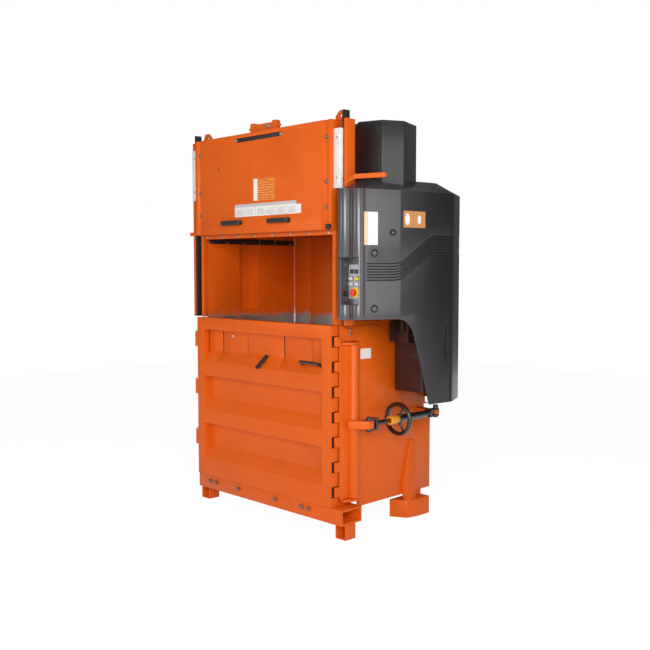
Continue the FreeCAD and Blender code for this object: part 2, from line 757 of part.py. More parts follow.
def post():
    """Right guide post: a folded box with the gate's channel let into its front."""
    t = POST_WALL
    low = door_top + DOOR_FLOOR_GAP
    outer = plan([(chamber_half, POST_FRONT), (channel_inner, POST_FRONT),
                  (channel_inner, channel_back),
                  (channel_outer, channel_back), (channel_outer, POST_FRONT), (post_outer, POST_FRONT),
                  (post_outer, post_back), (wall_outer, post_back), (wall_outer, chamber_front),
                  (chamber_half, chamber_front)], low, gate_top)
    hollow = plan([(chamber_half + t, POST_FRONT + t), (channel_inner - t, POST_FRONT + t),
                   (channel_inner - t, channel_back + t), (channel_outer + t, channel_back + t),
                   (channel_outer + t, POST_FRONT + t), (post_outer - t, POST_FRONT + t),
                   (post_outer - t, post_back - t), (wall_outer + t, post_back - t),
                   (wall_outer + t, chamber_front - t), (chamber_half + t, chamber_front - t)], low,
                  gate_top)
    return outer.cut(hollow)


def lifting_lug():
    """Lug that stands in the right post behind the gate's channel and leans over the chamber wall."""
    x0, x1 = channel_inner - LUG_WIDTH / 2 - LUG_SHIFT, channel_inner + LUG_WIDTH / 2 - LUG_SHIFT
    foot_x = wall_outer + POST_WALL + SEAT
    foot, top = gate_top + SEAT, gate_top + LUG_HEIGHT
    y0, y1 = channel_back + POST_WALL + SEAT, post_back - POST_WALL - SEAT
    lug = front([(foot_x, gate_top - LUG_ROOT), (x1, gate_top - LUG_ROOT), (x1, top - LUG_BEVEL),
                 (x1 - LUG_BEVEL / 2, top), (x0 + LUG_BEVEL, top), (x0, top - LUG_BEVEL), (x0, foot),
                 (foot_x, foot)],
                y0, y1)
    return lug.cut(cylinder(Vector((x0 + x1) / 2, y0, gate_top + LUG_HEIGHT / 2), Vector(0, 1, 0),
                            LUG_HOLE_R, y1 - y0))


def gate_stop():
    """Folded stop on the left post's outer flange, level with the raised gate's lower edge."""
    z = feed_top
    return side([(POST_FRONT + STOP_SIZE, z), (POST_FRONT - STOP_SIZE / 2, z),
                 (POST_FRONT - STOP_SIZE / 2, z + STOP_SIZE),
                 (POST_FRONT + STOP_SIZE, z + STOP_SIZE)], -post_outer - STOP_SIZE, -post_outer)


def hood_bar():
    """Flat bar, bent once, from the right post's outer flange back over the hood's roof."""
    t, h, z = HOOD_BAR_THICKNESS, HOOD_BAR_HEIGHT, gate_top - HOOD_BAR_DROP
    x0 = channel_outer + POST_WALL
    x1 = post_outer + HOOD_BAR_FLAT
    x2 = x1 + HOOD_BAR_REACH
    y0, y1 = POST_FRONT - t - SEAT, POST_FRONT + HOOD_BAR_DEPTH
    strap = plan([(x0, y0), (x1 + t, y0, 2 * t), (x2, y1), (x2 - t, y1 + t), (x1, y0 + t, t),
                  (x0, y0 + t)], z, z + 4 * h)
    shape = front([(x0, z), (post_outer, z), (x1, z + h), (x2, z + HOOD_BAR_END_RISE * h, h / 3),
                   (x2, z + (HOOD_BAR_END_RISE + 1) * h, h / 3),
                   (x1, z + 2 * h), (post_outer, z + h), (x0, z + h)], y0, y1 + t)
    return strap.common(shape)


def guide_strip():
    """Black wear strip in the outer corner of the right channel; it stands above the post."""
    return box(channel_outer - STRIP_WIDTH, channel_outer, POST_FRONT + STRIP_SETBACK, channel_back,
               door_top + DOOR_FLOOR_GAP, gate_top + STRIP_RISE)


def lintel():
    """Folded channel above the feed opening."""
    z0 = feed_top - LINTEL_DROP
    y0 = POST_FRONT + LINTEL_SETBACK
    return side([(y0, z0), (chamber_front, z0), (chamber_front, z0 + POST_WALL),
                 (y0 + POST_WALL, z0 + POST_WALL),
                 (y0 + POST_WALL, z0 + LINTEL_HEIGHT - POST_WALL),
                 (chamber_front, z0 + LINTEL_HEIGHT - POST_WALL),
                 (chamber_front, z0 + LINTEL_HEIGHT), (y0, z0 + LINTEL_HEIGHT)], -chamber_half,
                chamber_half)


def crown():
    """Hollow cross tube that ties the tops of the posts."""
    z0 = gate_top - CROWN_HEIGHT
    y0 = POST_FRONT + LINTEL_SETBACK
    outer = box(-chamber_half, chamber_half, y0, chamber_front, z0, gate_top)
    inner = box(-chamber_half, chamber_half, y0 + POST_WALL, chamber_front - POST_WALL, z0 + POST_WALL,
                gate_top - POST_WALL)
    return outer.cut(inner)


def top_bracket():
    """U bracket in the middle of the crown and the bolt across it."""
    y0 = POST_FRONT + LINTEL_SETBACK
    base = box(-BRACKET_WIDTH / 2, BRACKET_WIDTH / 2, y0, chamber_front, gate_top, gate_top + POST_WALL)
    ears = [front([(x - BRACKET_EAR_WIDTH / 2, gate_top), (x + BRACKET_EAR_WIDTH / 2, gate_top),
                   (x + BRACKET_EAR_WIDTH / 2, gate_top + BRACKET_HEIGHT, BRACKET_BOLT_R),
                   (x - BRACKET_EAR_WIDTH / 2, gate_top + BRACKET_HEIGHT, BRACKET_BOLT_R)], y0,
                  chamber_front)
            for x in (-BRACKET_EAR, BRACKET_EAR)]
    reach = BRACKET_EAR + BRACKET_EAR_WIDTH
    start = Vector(-reach, (y0 + chamber_front) / 2, gate_top + BRACKET_HEIGHT / 2)
    hole = cylinder(start, Vector(1, 0, 0), BRACKET_BOLT_R, 2 * reach)
    cross_bolt = cylinder(start, Vector(1, 0, 0), BRACKET_BOLT_R - SEAT / 10, 2 * reach)
    return [join([base] + ears).cut(hole), cross_bolt]


def side_cheek():
    """Stiffener on the outside of the right wall above the side panel."""
    return side([(post_back, side_panel_top + RUNNING_GAP),
                 (COVER_FRONT_Y - SEAT, side_panel_top + RUNNING_GAP),
                 (COVER_FRONT_Y - SEAT, gate_top - CHEEK_DROP, CHEEK_CORNER),
                 (post_back, gate_top - CHEEK_DROP, CHEEK_CORNER)],
                wall_outer, side_face)


def panel_shape(rim):
    """Corners of the casing sheet's side view, set in by rim along its rear edge."""
    edge = side_panel_edge - rim
    return [(PANEL_SETBACK, side_panel_bottom), (panel_back, side_panel_bottom),
            (panel_back, PANEL_FLARE_Z - rim),
            (panel_flare_y - rim / 2, PANEL_FLARE_Z - rim, PANEL_RIM),
            (edge, PANEL_FLARE_Z + PANEL_FLARE_RISE - rim),
            (edge, side_panel_top - rim, SIDE_PANEL_RADIUS),
            (post_back + RUNNING_GAP, side_panel_top - rim),
            (post_back + RUNNING_GAP, door_top), (chamber_front, door_top),
            (chamber_front, panel_step_z),
            (PANEL_SETBACK, panel_step_z)]


def side_panel():
    """Right casing sheet with its big rear corner; the field inside its rim stands proud."""
    base = side(panel_shape(0), wall_outer, side_face - PANEL_RIM_STEP)
    return join([base, side(panel_shape(PANEL_RIM), side_face - PANEL_RIM_STEP, side_face)])


# ---- feed gate

def gate_sheet():
    """Folded gate with set-back side grooves, a stepped lower band and returns into the channels."""
    g0, g1 = gate_half - GATE_GROOVE_INSET, gate_half - GATE_GROOVE_INSET - GATE_GROOVE_WIDTH
    d, t = GATE_GROOVE_DEPTH, GATE_SHEET
    right = [(gate_half, GATE_RETURN), (gate_half, 0), (g0, 0), (g0 - d / 2, d), (g1 + d / 2, d),
             (g1, 0)]
    inside = [(g1 - t / 2, t), (g1 + d / 2 - t / 2, d + t), (g0 - d / 2 + t / 2, d + t),
              (g0 + t / 2, t),
              (gate_half - t, t), (gate_half - t, GATE_RETURN)]
    left = [(-x, y) for x, y in reversed(right)]
    left_inside = [(-x, y) for x, y in reversed(inside)]
    sheet = plan(right + left + left_inside + inside, feed_top, gate_top)
    band_top = feed_top + GATE_CREASE_HEIGHT
    step = GATE_CREASE_STEP
    band = side([(0, feed_top), (0, band_top), (-step, band_top - 2 * step), (-step, feed_top)], -g1,
                g1)
    top_flange = box(-g1, g1, t, GATE_FLANGE, gate_top - t, gate_top)
    bottom_flange = box(-g1, g1, t, GATE_FLANGE, feed_top, feed_top + t)
    slot = box(-STRIP_SLOT / 2, STRIP_SLOT / 2, 0, t, gate_top - STRIP_DROP - STRIP_SLOT_HEIGHT,
               gate_top - STRIP_DROP)
    return join([sheet, band, top_flange, bottom_flange]).cut(slot)


def gate_strip():
    """Dark strip that lies behind the slot under the gate's top edge."""
    z1 = gate_top - STRIP_DROP + GATE_SHEET
    return box(-STRIP_SLOT / 2 - GATE_SHEET, STRIP_SLOT / 2 + GATE_SHEET, GATE_SHEET, 2 * GATE_SHEET,
               z1 - STRIP_SLOT_HEIGHT - 2 * GATE_SHEET, z1)


def gate_grips():
    """Two deep bow grips on the gate's lower band."""
    grips = []
    z0 = feed_top + GRIP_RISE
    y0 = -GATE_CREASE_STEP
    for x in (GRIP_LEFT_X, GRIP_RIGHT_X):
        outer = plan([(x - GRIP_WIDTH / 2, y0), (x - GRIP_WIDTH / 2, y0 - GRIP_DEPTH, GRIP_DEPTH * 0.6),
                      (x + GRIP_WIDTH / 2, y0 - GRIP_DEPTH, GRIP_DEPTH * 0.6),
                      (x + GRIP_WIDTH / 2, y0)],
                     z0, z0 + GRIP_HEIGHT)
        foot = GRIP_HEIGHT * 0.6
        hollow = box(x - GRIP_WIDTH / 2 + foot, x + GRIP_WIDTH / 2 - foot, y0 - GRIP_DEPTH + GRIP_BAR,
                     y0,
                     z0, z0 + GRIP_HEIGHT)
        grips.append(outer.cut(hollow))
    return group(grips)


def gate_shoe():
    """White slide shoe on the gate's right return; its tongue runs in the post's channel."""
    face = box(gate_half, channel_outer - SHOE_GAP, SHOE_FRONT, POST_FRONT - SHOE_GAP, shoe_low,
               shoe_low + SHOE_HEIGHT)
    tongue = box(gate_half + SHOE_TONGUE_INSET, channel_outer - STRIP_WIDTH - SEAT,
                 POST_FRONT - SHOE_GAP, channel_back - SHOE_GAP,
                 shoe_low, shoe_low + SHOE_HEIGHT)
    screws = [bolt(Vector(channel_outer - SHOE_SCREW_INSET, SHOE_FRONT, z), Vector(0, -1, 0),
                   SHOE_SCREW_R, SHOE_SCREW_R / 2)
              for z in (shoe_low + SHOE_SCREW_RISE, shoe_low + SHOE_HEIGHT - SHOE_SCREW_RISE)]
    return join([face, tongue] + screws)


def gate_bolts():
    """Hexagon bolts in the gate's side grooves, which hold the shoes and rails behind it."""
    x = gate_half - GATE_GROOVE_INSET - GATE_GROOVE_WIDTH / 2
    heads = [bolt(Vector(s * x, GATE_GROOVE_DEPTH, z), Vector(0, -1, 0), GATE_BOLT_R, GATE_BOLT_R * 0.7)
             for s in (-1, 1) for z in (shoe_low + SHOE_SCREW_RISE,
                                        shoe_low + SHOE_HEIGHT - SHOE_SCREW_RISE,
                                        shoe_low - GATE_BOLT_DROP)]
    return group(heads)


# ---- swing door

def recess_levels():
    """(top, bottom) of the three door recesses."""
    levels = []
    z = door_top - TOP_RAIL
    for share in RECESS_SHARES:
        height = share * DOOR_HEIGHT
        levels.append((z, z - height))
        z -= height + RAIL
    return levels


recess_top, recess_bottom = recess_levels()[0]
sill_top = recess_bottom + (recess_top - recess_bottom) * RECESS_SLOPE
sill_tilt = math.degrees(math.atan2(RECESS_DEPTH, sill_top - recess_bottom))


def sill_point(x, share):
    """The point on the upper recess's sloping sill at a share of its height."""
    return Vector(x, RECESS_DEPTH * share, recess_bottom + (sill_top - recess_bottom) * share)


latch_foot = sill_point(LATCH_X, LATCH_SHARE)
latch_axis = Vector(0, -math.cos(math.radians(sill_tilt)), math.sin(math.radians(sill_tilt)))


def strap_funnel(x, grow):
    """Shallow V down the back of the upper recess that fades out on its sill, deepened by grow."""
    reach, depth = 2 * (FUNNEL_HALF + grow), FUNNEL_DEPTH + grow
    section = [(x - reach, RECESS_DEPTH - depth), (x + reach, RECESS_DEPTH - depth),
               (x, RECESS_DEPTH + depth)]
    tip = sill_point(x, FUNNEL_SHARE)
    base = [Vector(u, v, sill_top) for u, v in section]
    sides = [Part.Face(Part.makePolygon([a, b, tip, a])) for a, b in zip(base, base[1:] + base[:1])]
    floor = Part.Face(Part.makePolygon(base + base[:1]))
    return join([plan(section, sill_top, recess_top), Part.makeSolid(Part.makeShell(sides + [floor]))])


def strap_slot(x):
    """Narrow slot at the bottom of a funnel, through to the liner."""
    tip = sill_point(x, FUNNEL_SHARE)
    return side([(tip.y, tip.z), (RECESS_DEPTH - FUNNEL_DEPTH, sill_top),
                 (RECESS_DEPTH - FUNNEL_DEPTH, recess_top),
                 (DOOR_DEPTH, recess_top), (DOOR_DEPTH, sill_top)], x - FUNNEL_SLOT / 2,
                x + FUNNEL_SLOT / 2)


def door_frame():
    """Welded door: stiles and sloping rails around three recesses, notched down the lock edge."""
    body = box(-door_half, door_half, 0, DOOR_DEPTH, door_bottom, door_top)
    inner_half = door_half - STILE
    shell_back = RECESS_DEPTH + SKIN
    cuts = []
    backing = Part.makeCompound([strap_funnel(x, SKIN) for x in FUNNEL_XS])
    rail_top, rail_shelf = door_top, door_top
    for top, bottom in recess_levels():
        shelf = bottom + (top - bottom) * RECESS_SLOPE
        cuts.append(side([(0, bottom), (RECESS_DEPTH, shelf), (RECESS_DEPTH, top), (0, top)],
                         -inner_half, inner_half))
        cuts.append(side([(SKIN, top + SKIN), (SKIN, rail_top - SKIN), (shell_back, rail_shelf - SKIN),
                          (shell_back, top + SKIN)], -inner_half + SKIN,
                         inner_half - SKIN).cut(backing))
        rail_top, rail_shelf = bottom, shelf
    cuts.append(side([(SKIN, door_bottom + SKIN), (SKIN, rail_top - SKIN),
                      (shell_back, rail_shelf - SKIN),
                      (shell_back, door_bottom + SKIN)], -inner_half + SKIN, inner_half - SKIN))
    for s in (-1, 1):
        x0, x1 = sorted((s * (inner_half + SKIN), s * (door_half - NOTCH_DEPTH - SKIN)))
        cuts.append(box(x0, x1, SKIN, shell_back, door_bottom + SKIN, door_top - SKIN))
    for top in notch_tops:
        cuts.append(box(door_half - NOTCH_DEPTH, door_half, 0, DOOR_DEPTH, top - NOTCH_HEIGHT, top))
    for x in STRAP_XS:
        if x in FUNNEL_XS:
            cuts.extend([strap_funnel(x, 0), strap_slot(x)])
        else:
            cuts.append(box(x - PLAIN_SLOT / 2, x + PLAIN_SLOT / 2, RECESS_DEPTH, DOOR_DEPTH, sill_top,
                            recess_top))
    boss = cylinder(latch_foot - latch_axis * SKIN, latch_axis, LATCH_BOSS_R, SKIN + LATCH_BOSS_HEIGHT)
    return join([body.cut(Part.makeCompound(cuts)), boss])


def door_liner():
    """Inner face of the door in planks, with the strap channels between them."""
    spans = [(max(x0, -door_half), min(x1, door_half)) for x0, x1 in panel_spans]
    return group(box(x0, x1, DOOR_DEPTH, DOOR_DEPTH + LINER_THICKNESS, door_bottom, door_top) for x0,
                 x1 in spans)


def door_handle():
    """Round bow handle near the lock edge, standing out of the upper recess."""
    start = Vector(handle_x, RECESS_DEPTH, handle_z)
    out = Vector(HANDLE_LENGTH / 6, -RECESS_DEPTH, HANDLE_LIFT)
    over = Vector(HANDLE_LENGTH - 2 * out.x, 0, 0)
    back = Vector(out.x, -out.y, -out.z)
    pieces = [cylinder(start, out, HANDLE_R, out.Length),
              cylinder(start + out, over, HANDLE_R, over.Length),
              cylinder(start + out + over, back, HANDLE_R, back.Length),
              Part.makeSphere(HANDLE_R, start + out), Part.makeSphere(HANDLE_R, start + out + over)]
    bow = join(pieces).cut(door_frame())
    return max(bow.Solids, key=lambda solid: solid.Volume)


def latch_lever():
    """Small moulded lever that turns on its boss, flat over the sill and hanging at a slant."""
    y, r, taper = latch_foot.y - LATCH_BOSS_HEIGHT - SEAT, LATCH_BOSS_R, LATCH_BOSS_R * LATCH_TAPER
    blade = front([(LATCH_X - r, latch_foot.z + r, r / 2), (LATCH_X + r, latch_foot.z + r, r / 2),
                   (LATCH_X + taper, latch_foot.z - LATCH_LENGTH, r / 2),
                   (LATCH_X - taper, latch_foot.z - LATCH_LENGTH, r / 2)], y - LATCH_THICKNESS, y)
    blade.rotate(latch_foot, Vector(0, 1, 0), LATCH_SLANT)
    blade.rotate(latch_foot, Vector(1, 0, 0), -sill_tilt)
    return blade


def knuckle(z0, z1):
    return tube(hinge_axis + Vector(0, 0, z0), Vector(0, 0, 1), HINGE_R, HINGE_PIN_R + SEAT, z1 - z0)


def hinge_levels():
    """Height of the middle of each of the door's three hinges."""
    return [door_bottom + DOOR_HEIGHT * share for share in HINGE_SHARES]


def door_hinge_leaves():
    """The door's own knuckle of each hinge, on a leaf to its left stile."""
    leaves = []
    for z in hinge_levels():
        z0, z1 = z - HINGE_KNUCKLE / 2, z + HINGE_KNUCKLE / 2
        leaf = box(hinge_axis.x, -door_half, hinge_axis.y - HINGE_LEAF / 2,
                   hinge_axis.y + HINGE_LEAF / 2, z0, z1)
        bore = cylinder(hinge_axis + Vector(0, 0, z0), Vector(0, 0, 1), HINGE_PIN_R + SEAT,
                        HINGE_KNUCKLE)
        leaves.append(join([knuckle(z0, z1), leaf]).cut(bore))
    return group(leaves)


def frame_hinge_leaves():
    """Fixed knuckles above and below each of the door's, on a bracket from the chamber wall."""
    leaves = []
    for z in hinge_levels():
        for s in (-1, 1):
            z0, z1 = sorted((z + s * (HINGE_KNUCKLE / 2 + HINGE_GAP),
                             z + s * (HINGE_KNUCKLE * HINGE_OUTER + HINGE_GAP)))
            arm = plan([(hinge_axis.x - HINGE_LEAF / 2, hinge_axis.y),
                        (hinge_axis.x + HINGE_LEAF / 2, hinge_axis.y),
                        (hinge_axis.x + HINGE_LEAF / 2, chamber_front + HINGE_LEAF),
                        (-wall_outer, chamber_front + HINGE_LEAF),
                        (-wall_outer, chamber_front + 2 * HINGE_R),
                        (hinge_axis.x - HINGE_LEAF / 2, chamber_front + 2 * HINGE_R)],
                       z0, z1)
            bore = cylinder(hinge_axis + Vector(0, 0, z0), Vector(0, 0, 1), HINGE_PIN_R, z1 - z0)
            leaves.append(join([knuckle(z0, z1), arm]).cut(bore))
    return group(leaves)


def hinge_pins():
    """Headed pins through the door hinges, held in the fixed knuckles."""
    pins = []
    reach = HINGE_KNUCKLE * HINGE_OUTER + HINGE_GAP
    for z in hinge_levels():
        shaft = cylinder(hinge_axis + Vector(0, 0, z - reach), Vector(0, 0, 1), HINGE_PIN_R - SEAT / 10,
                         2 * reach)
        head = cylinder(hinge_axis + Vector(0, 0, z + reach), Vector(0, 0, 1), HINGE_R * 0.8,
                        HINGE_PIN_R)
        pins.append(join([shaft, head]))
    return group(pins)


# ---- claw lock

def claw_plate():
    """Column with seven claws that enter the door's notches, and the lever that swings it."""
    axis = Vector(column_x, COLUMN_Y, 0)
    shaft = tube(axis + Vector(0, 0, column_bottom), Vector(0, 0, 1), COLUMN_R, COLUMN_R - COLUMN_WALL,
                 column_top - column_bottom)
    plugs = [tube(axis + Vector(0, 0, z), Vector(0, 0, 1), COLUMN_R - COLUMN_WALL,
                  PIVOT_PIN_R + LINK_CLEARANCE, PLUG_HEIGHT)
             for z in (column_bottom, column_top - PLUG_HEIGHT)]
    plate = box(claw_inner, claw_inner + CLAW_PLATE, DOOR_DEPTH, COLUMN_Y, column_bottom, column_top)
    spine = box(claw_inner, claw_inner + CLAW_PLATE, DOOR_DEPTH, chamber_front - RUNNING_GAP,
                column_bottom,
                notch_tops[0] - CLAW_HEIGHT_GAP)
    bore = cylinder(axis, Vector(0, 0, 1), COLUMN_R - COLUMN_WALL / 2, gate_top)
    plate = plate.cut(bore)
    claws = []
    for top in notch_tops:
        claws.append(plan([(claw_inner - CLAW_BITE, DOOR_DEPTH - CLAW_DEPTH, CLAW_SIDE_GAP),
                           (claw_inner + CLAW_PLATE, DOOR_DEPTH - CLAW_DEPTH, CLAW_SIDE_GAP),
                           (claw_inner + CLAW_PLATE, DOOR_DEPTH), (claw_inner - CLAW_BITE, DOOR_DEPTH)],
                          top - NOTCH_HEIGHT + CLAW_HEIGHT_GAP, top - CLAW_HEIGHT_GAP))
    z0, z1 = SPINDLE_Z - LEVER_THICKNESS / 2, SPINDLE_Z + LEVER_THICKNESS / 2
    lever = plan([(column_x, COLUMN_Y - COLUMN_R),
                  (lever_pin.x - 3 * LEVER_END, COLUMN_Y - 3 * LEVER_END),
                  (lever_pin.x + LEVER_END, lever_pin.y - LEVER_END, LEVER_END / 2),
                  (lever_pin.x + LEVER_END, lever_pin.y + LEVER_END, LEVER_END / 2),
                  (lever_pin.x - LEVER_END, lever_pin.y + LEVER_END, LEVER_END / 2),
                  (column_x, COLUMN_Y + COLUMN_R / 2)], z0, z1)
    pin_hole = cylinder(Vector(lever_pin.x, lever_pin.y, z0), Vector(0, 0, 1), LOCK_PIN_R + LOCK_SLACK,
                        LEVER_THICKNESS)
    lever = lever.cut(bore).cut(pin_hole)
    return join([shaft, plate, spine, lever] + plugs + claws)


def lock_brackets():
    """Plates above and below the column, each with the pivot pin that the column turns on."""
    plates = []
    for z0, z1, pin_z in ((column_top + RUNNING_GAP, column_top + COLUMN_PLATE,
                           column_top - PLUG_HEIGHT),
                          (column_bottom - COLUMN_PLATE, column_bottom - RUNNING_GAP,
                           column_bottom - COLUMN_PLATE)):
        plate = plan([(wall_outer, chamber_front), (column_x, chamber_front),
                      (column_x + COLUMN_R, COLUMN_Y - COLUMN_R, PIVOT_PIN_R),
                      (column_x + COLUMN_R, COLUMN_Y + COLUMN_R / 2, PIVOT_PIN_R),
                      (wall_outer, PANEL_SETBACK - RUNNING_GAP)],
                     z0, z1)
        pin = cylinder(Vector(column_x, COLUMN_Y, pin_z), Vector(0, 0, 1), PIVOT_PIN_R,
                       PLUG_HEIGHT + COLUMN_PLATE)
        plates.append(join([plate, pin]))
    return group(plates)


def clevis(pin_point, direction, gap, back):
    """Fork around a pin: two lugs joined by a block, pointing along direction (+1 or -1 in Y)."""
    lugs = []
    for s in (-1, 1):
        z0, z1 = sorted((pin_point.z + s * gap / 2, pin_point.z + s * (gap / 2 + FORK_LUG)))
        y_end = pin_point.y + direction * back
        y0, y1 = sorted((pin_point.y, y_end))
        lug = box(pin_point.x - FORK_R, pin_point.x + FORK_R, y0, y1, z0, z1)
        eye = cylinder(Vector(pin_point.x, pin_point.y, z0), Vector(0, 0, 1), FORK_R, FORK_LUG)
        lugs.append(lug.fuse(eye))
    y0, y1 = sorted((pin_point.y + direction * back, pin_point.y + direction * (back - FORK_BLOCK)))
    block = box(pin_point.x - FORK_R, pin_point.x + FORK_R, y0, y1, pin_point.z - gap / 2 - FORK_LUG,
                pin_point.z + gap / 2 + FORK_LUG)
    return lugs + [block]


def lock_rod():
    """Fork on the claw lever with its pin and the threaded rod that enters the handwheel's sleeve."""
    gap = LEVER_THICKNESS + 2 * FORK_GAP
    parts = clevis(lever_pin, 1, gap, FORK_FRONT_BACK)
    pin_z = lever_pin.z - gap / 2 - FORK_LUG
    pin = cylinder(Vector(lever_pin.x, lever_pin.y, pin_z), Vector(0, 0, 1), LOCK_PIN_R,
                   gap + 2 * FORK_LUG)
    head = bolt(Vector(lever_pin.x, lever_pin.y, lever_pin.z + gap / 2 + FORK_LUG), Vector(0, 0, 1),
                LOCK_PIN_R * HEAD_TO_PIN, PIN_HEAD_HEIGHT)
    nut = bolt(Vector(lever_pin.x, lever_pin.y, pin_z), Vector(0, 0, -1), LOCK_PIN_R * HEAD_TO_PIN,
               PIN_HEAD_HEIGHT)
    rod = cylinder(lever_pin + Vector(0, FORK_FRONT_BACK - FORK_BLOCK / 2, 0), Vector(0, 1, 0),
                   SPINDLE_R, ROD_REACH)
    return join(parts + [pin, head, nut, rod])


def handwheel():
    """Three-spoke wheel on the threaded tube; turning it draws the fork in or pushes it out."""
    centre = Vector(lever_pin.x, wheel_y, lever_pin.z)
    along = Vector(0, 1, 0)
    tail = anchor_pin.y - FORK_REAR_BACK - wheel_y
    bore = SPINDLE_R + SEAT / 10
    profile = [(bore, -HUB_HALF), (HUB_R, -HUB_HALF, SEAT * 5), (HUB_R, HUB_HALF, SEAT * 5),
               (TUBE_R, HUB_HALF),
               (TUBE_R * TUBE_TAPER, tail), (JOURNAL_R, tail),
               (JOURNAL_R, tail + FORK_BLOCK + ANCHOR_R),
               (0, tail + FORK_BLOCK + ANCHOR_R), (0, tail - FORK_BLOCK), (bore, tail - FORK_BLOCK)]
    section = outline(profile, lambda p: centre + Vector(p.x, p.y, 0))
    shaft = section.revolve(centre, along, 360)
    rim = Part.makeTorus(WHEEL_R - WHEEL_RIM_R, WHEEL_RIM_R, centre, along)
    spokes = []
    for i in range(3):
        out = FreeCAD.Rotation(along, SPOKE_START + 120.0 * i).multVec(Vector(0, 0, 1))
        spokes.append(cylinder(centre + out * (HUB_R - SPOKE_R), out, SPOKE_R,
                               WHEEL_R - WHEEL_RIM_R - HUB_R + SPOKE_R))
    return rim.multiFuse(spokes + [shaft]).Solids[0]


def wheel_sleeve():
    """Brass-coloured nut in front of the wheel's hub that the rod screws through."""
    start = Vector(lever_pin.x, wheel_y - HUB_HALF - SLEEVE_LENGTH, lever_pin.z)
    outer = cylinder(start, Vector(0, 1, 0), SLEEVE_R, SLEEVE_LENGTH)
    bore = cylinder(start, Vector(0, 1, 0), SPINDLE_R + SEAT / 10, SLEEVE_LENGTH)
    return outer.cut(bore)


def rear_fork():
    """Fork around the anchor lug, with the collar that the handwheel's tube turns in."""
    gap = ANCHOR_THICKNESS + 2 * FORK_GAP
    parts = clevis(anchor_pin, -1, gap, FORK_REAR_BACK - SEAT)
    pin_z = anchor_pin.z - gap / 2 - FORK_LUG
    pin = cylinder(Vector(anchor_pin.x, anchor_pin.y, pin_z), Vector(0, 0, 1), LOCK_PIN_R,
                   gap + 2 * FORK_LUG)
    head = cylinder(Vector(anchor_pin.x, anchor_pin.y, anchor_pin.z + gap / 2 + FORK_LUG),
                    Vector(0, 0, 1),
                    LOCK_PIN_R * 1.5, REAR_PIN_HEAD)
    nut = bolt(Vector(anchor_pin.x, anchor_pin.y, pin_z), Vector(0, 0, -1), LOCK_PIN_R * HEAD_TO_PIN,
               PIN_HEAD_HEIGHT)
    bore = cylinder(anchor_pin - Vector(0, FORK_REAR_BACK, 0), Vector(0, 1, 0), JOURNAL_R + SEAT / 10,
                    FORK_BLOCK + ANCHOR_R + SEAT)
    return join(parts + [pin, head, nut]).cut(bore)


# ---- press platen and crossed rams

def platen():
    """Ribbed press plate with strap grooves and the lugs that the ram eyes hang in."""
    x1, y0, y1 = chamber_half - PLATEN_GAP, chamber_front + PLATEN_GAP, chamber_back - PLATEN_GAP
    top = platen_bottom + PLATEN_HEIGHT
    solid = box(-x1, x1, y0, y1, platen_bottom, top)
    pockets = []
    columns = [-x1] + [0.0] + [x1]
    rows = [y0, RIGHT_RAM_Y - LUG_HALF, RIGHT_RAM_Y + LUG_HALF - LUG_PLATE,
            LEFT_RAM_Y - LUG_HALF + LUG_PLATE,
            LEFT_RAM_Y + LUG_HALF, y1]
    for a, b in zip(columns, columns[1:]):
        for c, d in zip(rows, rows[1:]):
            if d - c > 3 * PLATEN_RIB:
                pockets.append(box(a + PLATEN_RIB, b - PLATEN_RIB, c + PLATEN_RIB, d - PLATEN_RIB,
                                   platen_bottom + PLATEN_PLATE, top))
    grooves = [box(x - STRAP_GAP / 2, x + STRAP_GAP / 2, y0, y1, platen_bottom,
                   platen_bottom + PLATEN_PLATE * STRAP_GROOVE_SHARE)
               for x in STRAP_XS]
    return solid.cut(Part.makeCompound(pockets + grooves))


def ram_lugs(x, ram_y):
    """Pair of cheeks on the platen with the capped ends of the eye's pin."""
    z0 = platen_bottom + PLATEN_HEIGHT
    eye = Vector(x, ram_y, ram_eye_z)
    cheeks = []
    for s in (-1, 1):
        y_in = ram_y + s * (EYE_WIDTH / 2 + EYE_SIDE_GAP)
        y0, y1 = sorted((y_in, y_in + s * LUG_PLATE))
        plate = front([(x - LUG_FOOT, z0), (x + LUG_FOOT, z0), (x + EYE_R, eye.z + EYE_R, EYE_R * 0.8),
                       (x - EYE_R, eye.z + EYE_R, EYE_R * 0.8)], y0, y1)
        cap_start = Vector(x, y_in + s * LUG_PLATE, eye.z)
        cap = cylinder(cap_start, Vector(0, s, 0), EYE_PIN_R * 1.3, EYE_PIN_R / 2)
        cheeks.append(join([plate, cap]))
    return cheeks


def platen_lugs():
    return group(ram_lugs(-ram_eye_x, RIGHT_RAM_Y) + ram_lugs(ram_eye_x, LEFT_RAM_Y))


